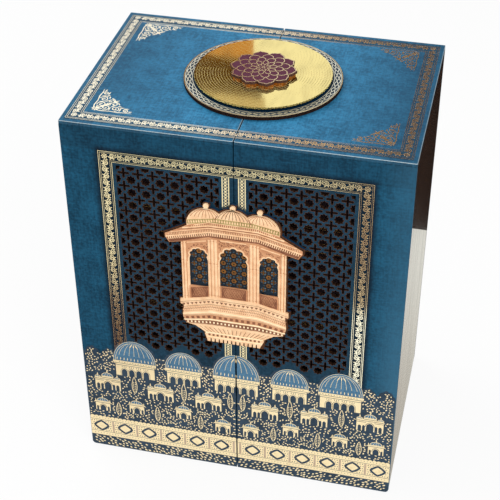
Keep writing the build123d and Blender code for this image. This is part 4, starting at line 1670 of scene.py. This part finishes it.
class Frieze:
    """The layers of the right half as they are collected; nothing crosses the seam."""

    def __init__(self):
        self.walls, self.fills, self.rims, self.ink = [], [], [], []
        self.taken = []

    def clipped(self, line):
        points = [(min(max(x, seam_x + 0.15), half_width - 0.2), z) for x, z in line.points]
        return Line(points, line.closed, line.swell)

    def add(self, drawn, x, z, half, height):
        for layer, lines in zip((self.walls, self.fills, self.rims, self.ink), drawn):
            layer += [self.clipped(line.moved(x, z)) for line in lines]
        self.taken.append((x - half - 0.8, x + half + 0.8, z - 0.6, z + height))

    def is_free(self, x, z):
        return not any(x0 < x < x1 and z0 < z < z1 for x0, x1, z0, z1 in self.taken)


frieze = Frieze()
dome_drop = 8.6
wall_height = 12.4
for middle, half, top in roofs:
    dome_foot_z = frieze_ridge - dome_drop
    fan = half_round(0, dome_foot_z, half, top - dome_foot_z, 20)
    foot = dome_foot_z - 3.6
    arch_middles = (-12.6, -6.3, 0, 6.3, 12.6) if middle == 0 else (-9, -3, 3, 9)
    arches = [(x, 2.3, foot - 8) for x in arch_middles]
    back_wall = wall(-half + 1.5, half - 1.5, foot - wall_height, foot, arches)
    cornice = Line(box_line(-half, half, foot, dome_foot_z - 0.2), True)
    ink = [level_line(1.45 - half + 2.2 * i, foot + 2.1, 0.45) for i in range(int(half / 1.1) - 1)]
    ink += [level_line(0, foot + 0.7, half), level_line(0, foot - 1.2, half - 1.5)]
    ink += [Line(pointed_arch(x, foot - wall_height, spring, half_arch + 0.7), swell=[0.7] * 11)
            for x, half_arch, spring in arches]
    ink += [Line([(x + lean, foot - 3.4), (x + lean, foot - 2.1)])
            for x in arch_middles for lean in (-1.6, 0, 1.6)]
    dome_lines = lotus_dome(0, dome_foot_z, half, top - dome_foot_z)
    frieze.add(([cornice, back_wall], [Line(fan, True)], dome_lines, ink), middle, 0, half, top)
    frieze.taken[-1] = (middle - half, middle + half, foot - wall_height - 0.5, top)
for building, half, height, middles in (
    (gateway, 11.5, 20, ((23.0, 61.5), (62.5, 63.0), (106.5, 66.0))),
    (kiosk, 7.5, 16, ((11.5, 39.0), (44.0, 47.0), (83.5, 44.0), (112.5, 41.5))),
):
    for x, z in middles:
        frieze.add(building(), x, z, half, height)
for x, z, height in (
    (5.0, 66.0, 17), (43.0, 66.0, 19), (84.0, 66.0, 18), (30.0, 38.0, 15), (66.0, 39.0, 16), (99.0, 38.0, 15),
):
    frieze.add(([], [], cypress(height), []), x, z, 2.4, height)

trees_from = 98


def tree_top(x):
    """Height of the trees beside the border."""
    return 103.4 + 6.5 * abs(math.sin(math.pi * x / 14.3 + 0.9)) + 1.6 * abs(math.sin(math.pi * x / 4.1))


tree_line = [(half_width - 0.3, 103.0)]
for i in range(1, 125):
    x = half_width - i
    if x > trees_from:
        tree_line.append((x, tree_top(x)))
    elif x > seam_x:
        tree_line.append((x, skyline(x) - 0.4 * abs(math.sin(math.pi * x / 4.3)) - 0.3))
slate_foot = arc(half_width - panel_corner, panel_foot + panel_corner, panel_corner - 0.3, -90, 0, 6)
slate_seam = [(seam_x + 0.1, skyline(seam_x) - 0.3), (seam_x + 0.1, panel_foot + 0.3)]
slate_outline = Line([*slate_foot, *tree_line, *slate_seam], True)

# Leaves grow on what the buildings leave free, in a grid of cells so that near ones are found fast
band_low, band_high = 12.6, 33.4
growing = random.Random(5)
leaf_places = []
cells = {}
cell_size = 2


def grow_leaves(count, x0, x1, z0, z1, spacing, lean):
    """Leaves at random on the free ground, at least the spacing apart."""
    for _ in range(count):
        x, z = growing.uniform(x0, x1), growing.uniform(z0, z1)
        ceiling = (tree_top(x) if x > trees_from else frieze_ridge) - 1.2
        glade = math.sin(0.34 * x + 0.21 * z) * math.sin(0.33 * z - 0.13 * x)
        if z >= ceiling or glade <= -0.62 or not frieze.is_free(x, z):
            continue
        column, level = int(x // cell_size), int(z // cell_size)
        near = [other for i in (-1, 0, 1) for j in (-1, 0, 1)
                for other in cells.get((column + i, level + j), [])]
        if all(math.hypot(x - a, z - b) > spacing for a, b in near):
            cells.setdefault((column, level), []).append((x, z))
            size = growing.uniform(0.8, 1.25) + 0.3 * (z < band_low)
            leaf_places.append(Place(x, z, growing.gauss(0.5, lean), (size, size)))


grow_leaves(5000, x0=1.6, x1=123.6, z0=35.5, z1=112.0, spacing=1.75, lean=1.0)
grow_leaves(1500, x0=1.6, x1=122.0, z0=2.6, z1=11.2, spacing=2.3, lean=0.25)
leaf_shape = motif_mesh(moved(leaf(1.9, 1.05, 4), -0.95), 0.03, 0.7)

# The band under the garden: a scalloped top, and lozenges among dots between upright bars
scallop_half = 1.72
scallops = []
for i in range(36):
    scallop_x = half_width - 0.6 - scallop_half * (2 * i + 1)
    scallops += arc(scallop_x, band_high, scallop_half, 0, 180, 5, 0.75)
band_foot = [(seam_x + 0.15, band_low), (half_width - 0.3, band_low), (half_width - 0.3, band_high)]
band_outline = frieze.clipped(Line([*band_foot, *scallops], True))
tile_pitch = 20.5
tile_middles = [13.0 + tile_pitch * i for i in range(6)]
tile_z = 23.5
lozenge = []
for x, z in circle(0, 0, 1, 20):
    lozenge.append((5.8 * math.copysign(abs(x) ** 1.6, x), 5.1 * math.copysign(abs(z) ** 1.6, z)))
lozenge_places = [Place(x, tile_z) for x in tile_middles]
band_ink = [Line([(seam_x + 0.2, z), (half_width - 0.4, z)]) for z in (16.9, 30.1)]
band_dots = []
for x in tile_middles:
    for i in range(9):
        for j in range(5):
            dx, dz = -8.0 + 2.0 * i + 0.5 * (j % 2), -5.0 + 2.5 * j
            if abs(dx) / 7.6 + abs(dz) / 6.8 > 1 and x + dx < half_width - 1:
                band_dots.append(Place(x + dx, tile_z + dz, size=(1.15, 1.15)))
band_dots += [Place(1.6 + 2.5 * i, z, size=(0.8, 0.8)) for i in range(49) for z in (14.8, 32.2)]
bar_middles = [x + tile_pitch / 2 for x in tile_middles[:-1]] + [2.7]
bars = [Line([(x, 17.4), (x, 29.6)]) for x in bar_middles]
print_rise = 0.05
fill_sheet, line_sheet, ink_sheet = [front_sheet(front_y - count * print_rise * MM) for count in (1, 2, 3)]
halves("printed_frieze", [
    cuts([slate_outline], print_rise, slate_print, front_face),
    cuts(frieze.fills, print_rise, sky_print, fill_sheet),
    cuts(frieze.walls, 2 * print_rise, cream_print, fill_sheet),
    cuts([band_outline], 2 * print_rise, cream_print, fill_sheet),
    foil_lines(frieze.rims, 0.5, 0.08, cream_print, line_sheet),
    repeats([leaf_shape], leaf_places, cream_print, fill_sheet),
    foil_lines(frieze.ink, 0.42, 0.03, slate_print, ink_sheet),
    foil_lines(band_ink, 0.35, 0.03, slate_print, ink_sheet),
    foil_lines([[Line(lozenge, True)]], 1.9, 0.04, slate_print, ink_sheet, lozenge_places),
    repeats([bead], band_dots, slate_print, front_sheet(front_y - 2.4 * print_rise * MM)),
    foil_lines(bars, 1.7, 0.03, bar_print, ink_sheet),
])


# Foil on the drawer fronts

flower_inset = 9
sprig = [Line(circle(0, 0, 1.5, 20), True)] + corner_flower(2.6)[1:]
for number in range(1, 5):
    low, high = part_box(f"drawer_{number}_front")
    drawer_face = front_sheet(low.y)
    left, right, foot, head = [edge / MM for edge in (low.x, high.x, low.z, high.z)]
    frames = [Line(box_line(left + inset, right - inset, foot + inset, head - inset), True)
              for inset in (4.0, 5.4, 12.5)]
    flowers = [Place(x, z, size=(1.2, 1.2)) for x in (left + flower_inset, right - flower_inset)
               for z in (foot + flower_inset, head - flower_inset)]
    flowers.append(Place(0, (foot + head) / 2, size=(4.4, 4.4), kind=1))
    piece(f"drawer_{number}_foil", [
        foil_lines(frames, 0.5, foil_rise, antique_foil, drawer_face),
        foil_lines([corner_flower(), sprig], 0.5, foil_rise, antique_foil, drawer_face, flowers),
    ], f"drawer_{number}")

# Screws in the hinge leaves, seen from the back

leaf_face = back_sheet(top_high.y + 0.8 * MM)
screw_head = motif_mesh(circle(0, 0, 1.9, 12), 0.4, 0.72)
screw_slot = motif_mesh(box_line(-1.2, 1.2, -0.22, 0.22), 0.02, 1.0)
leaf_middles = {"left_shell": [109.8], "right_shell": [-109.8], "core": [-90.2, 90.2]}
leaf_heights = (45, 269)
screw_lean, screw_step = 3, 14
for body, middles in leaf_middles.items():
    screws = [Place(x + screw_lean * (-1) ** k, z + screw_step * (k - 1), 0.6 * k + 0.3 * level)
              for x in middles for level, z in enumerate(leaf_heights) for k in range(3)]
    piece(f"{body}_hinge_screws", [
        repeats([screw_head], screws, brass, leaf_face),
        # The slots are thin dark marks on the heads: painted shade in place of cut grooves.
        repeats([screw_slot], screws, scorched, leaf_face @ Matrix.Translation((0, 0, 0.4))),
    ], body)

# Foil on the back panel

back_face = back_sheet(half_depth * MM)
back_half, back_foot, back_head = 78, 12, 302
flower_x, flower_low, flower_high = back_half - 7, back_foot + 7, back_head - 7
back_lines = [Line(box_line(inset - back_half, back_half - inset, back_foot + inset, back_head - inset), True)
              for inset in (0, 1.4)]
back_flowers = [Place(x, z, size=(1.6, 1.6)) for x in (-flower_x, flower_x)
                for z in (flower_low, flower_high)]
back_rings = ((20, 24, 0), (14.4, 20.4, half_petal), (9.6, 14.8, 0), (5.6, 10.0, half_petal), (2.4, 5.8, 0))
back_middle = (back_foot + back_head) / 2
back_rosette = [Line(petal_ring(*ring), True).moved(0, back_middle) for ring in back_rings]
piece("back_foil", [
    foil_lines(back_lines + back_rosette, 0.5, foil_rise, pale_foil, back_face),
    foil_lines([corner_flower()], 0.5, foil_rise, pale_foil, back_face, back_flowers),
], "core")


# Stage: a pale floor, soft light and the camera

def aimed(place, target):
    """The matrix of a camera or lamp at a place that looks at its target."""
    return Matrix.Translation(place) @ (target - place).to_track_quat("-Z", "Y").to_matrix().to_4x4()


camera_eye = Vector((178.15, -791.86, 776.62)) * MM
camera_target = Vector((11.48, -84.5, 227.12)) * MM
camera_roll = math.radians(-0.22)
photo_focal_px = 1272.6
photo_width_px = 500

camera = bpy.data.objects.new("camera", bpy.data.cameras.new("camera"))
bpy.context.scene.collection.objects.link(camera)
camera.data.sensor_width = 36
camera.data.lens = photo_focal_px / photo_width_px * camera.data.sensor_width
camera.data.clip_start = 0.01
camera.matrix_world = aimed(camera_eye, camera_target) @ Matrix.Rotation(camera_roll, 4, "Z")
bpy.context.scene.camera = camera
bpy.context.scene.view_settings.view_transform = "Standard"


def stage_card(name, low, high, material):
    """A flat card between two corners."""
    shape = bmesh.new()
    (x0, y0, z0), (x1, y1, z1) = low, high
    flat = z0 == z1
    corners = [(x0, y0, z0), (x1, y0, z0), (x1, y1, z1), (x0, y1 if flat else y0, z1)]
    shape.faces.new([shape.verts.new(corner) for corner in corners])
    card = bpy.data.objects.new(name, plain(shape, material))
    bpy.context.scene.collection.objects.link(card)
    return card


def seen_ray(finish):
    """1 for rays from the camera and for rays mirrored or let through by the object."""
    path = finish.node("ShaderNodeLightPath")
    kinds = ("Is Camera Ray", "Is Glossy Ray", "Is Transmission Ray")
    first, *rest = [Value(finish, path.outputs[kind]) for kind in kinds]
    for ray in rest:
        first = first.larger(ray)
    return first


floor_finish = Finish("floor")
floor_diffuse = floor_finish.node("ShaderNodeBsdfDiffuse", {}, {"Color": (0.8, 0.8, 0.8, 1)})
floor_white = floor_finish.node("ShaderNodeEmission", {}, {"Color": (1, 1, 1, 1), "Strength": 1.0})
floor_mix = floor_finish.node("ShaderNodeMixShader", {}, {
    0: seen_ray(floor_finish) * 0.9, 1: floor_diffuse, 2: floor_white,
})
floor_finish.node("ShaderNodeOutputMaterial", {}, {"Surface": floor_mix})
stage_card("floor", (-4, -4, 0), (4, 4, 0), floor_finish.material)


def mirror_card(name, low, high, level, far=None):
    """A card that only polished surfaces show, of one level, or of two that blend towards the back."""
    finish = Finish(name)
    if far:
        level = finish.mix(finish.axes()[1].fade(low[1] / MM, high[1] / MM), level, far)
    glow = finish.node("ShaderNodeEmission", {}, {"Color": level, "Strength": 1.0})
    finish.node("ShaderNodeOutputMaterial", {}, {"Surface": glow})
    card = stage_card(name, low, high, finish.material)
    card.visible_camera = card.visible_diffuse = card.visible_shadow = False
    card.visible_transmission = False


# Glowing cards that only reflections show paint reflections: cards just above the floor show in the side's
# gloss and in the foil of the front; upright cards behind the box show in the gilt plate and in the foil of
# the top
card_z = 0.001
card_y = 0.855
for name, low, high, *levels in (
    ("dark_floor", (0.127, 0.28, card_z), (0.7, 1.6, card_z), (0.012, 0.009, 0.008, 1)),
    ("dark_wall", (-0.075, card_y, 0.6), (0.8, card_y, 1.3), (0.1, 0.065, 0.045, 1)),
    ("shaded_floor", (0.1252, -0.085, card_z), (0.2, 0.28, card_z), (0.6, 0.56, 0.48, 1),
     (0.97, 0.96, 0.87, 1)),
    ("copper_floor_right", (-0.01, -0.52, card_z), (0.15, -0.345, card_z), (0.22, 0.09, 0.055, 1)),
    ("copper_floor_left", (-0.215, -0.3, card_z), (-0.1, -0.15, card_z), (0.18, 0.08, 0.05, 1)),
    ("amber_flag", (-0.45, card_y, 0.66), (-0.203, card_y, 0.79), (0.55, 0.23, 0.03, 1)),
    ("dark_flag", (-0.45, card_y, 0.79), (-0.19, card_y, 0.855), (0.1, 0.05, 0.012, 1)),
    ("brown_flag", (-0.45, card_y, 0.855), (-0.185, card_y, 0.93), (0.54, 0.43, 0.3, 1)),
):
    mirror_card(name, low, high, *levels)

world = bpy.data.worlds.new("studio")
bpy.context.scene.world = world
world.use_nodes = True
sky = Nodes(world.node_tree)
world.node_tree.nodes.clear()
ambient = 0.6
sky_strength = seen_ray(sky) * (1 - ambient) + ambient
sky_light = sky.node("ShaderNodeBackground", {}, {"Color": (1, 1, 1, 1), "Strength": sky_strength})
sky.node("ShaderNodeOutputWorld", {}, {"Surface": sky_light})


def softbox(name, place, target, size, power):
    """A square lamp that faces its target."""
    lamp = bpy.data.lights.new(name, "AREA")
    lamp.size = size
    lamp.energy = power
    holder = bpy.data.objects.new(name, lamp)
    holder.visible_glossy = False
    holder.matrix_world = aimed(Vector(place), Vector(target))
    bpy.context.scene.collection.objects.link(holder)


lamp_target = (0, 0, 0.2)
softbox("key", (-0.8, 0.4, 1.3), lamp_target, size=1.0, power=9)
softbox("fill", (0.7, -1.2, 1.2), lamp_target, size=1.0, power=19)
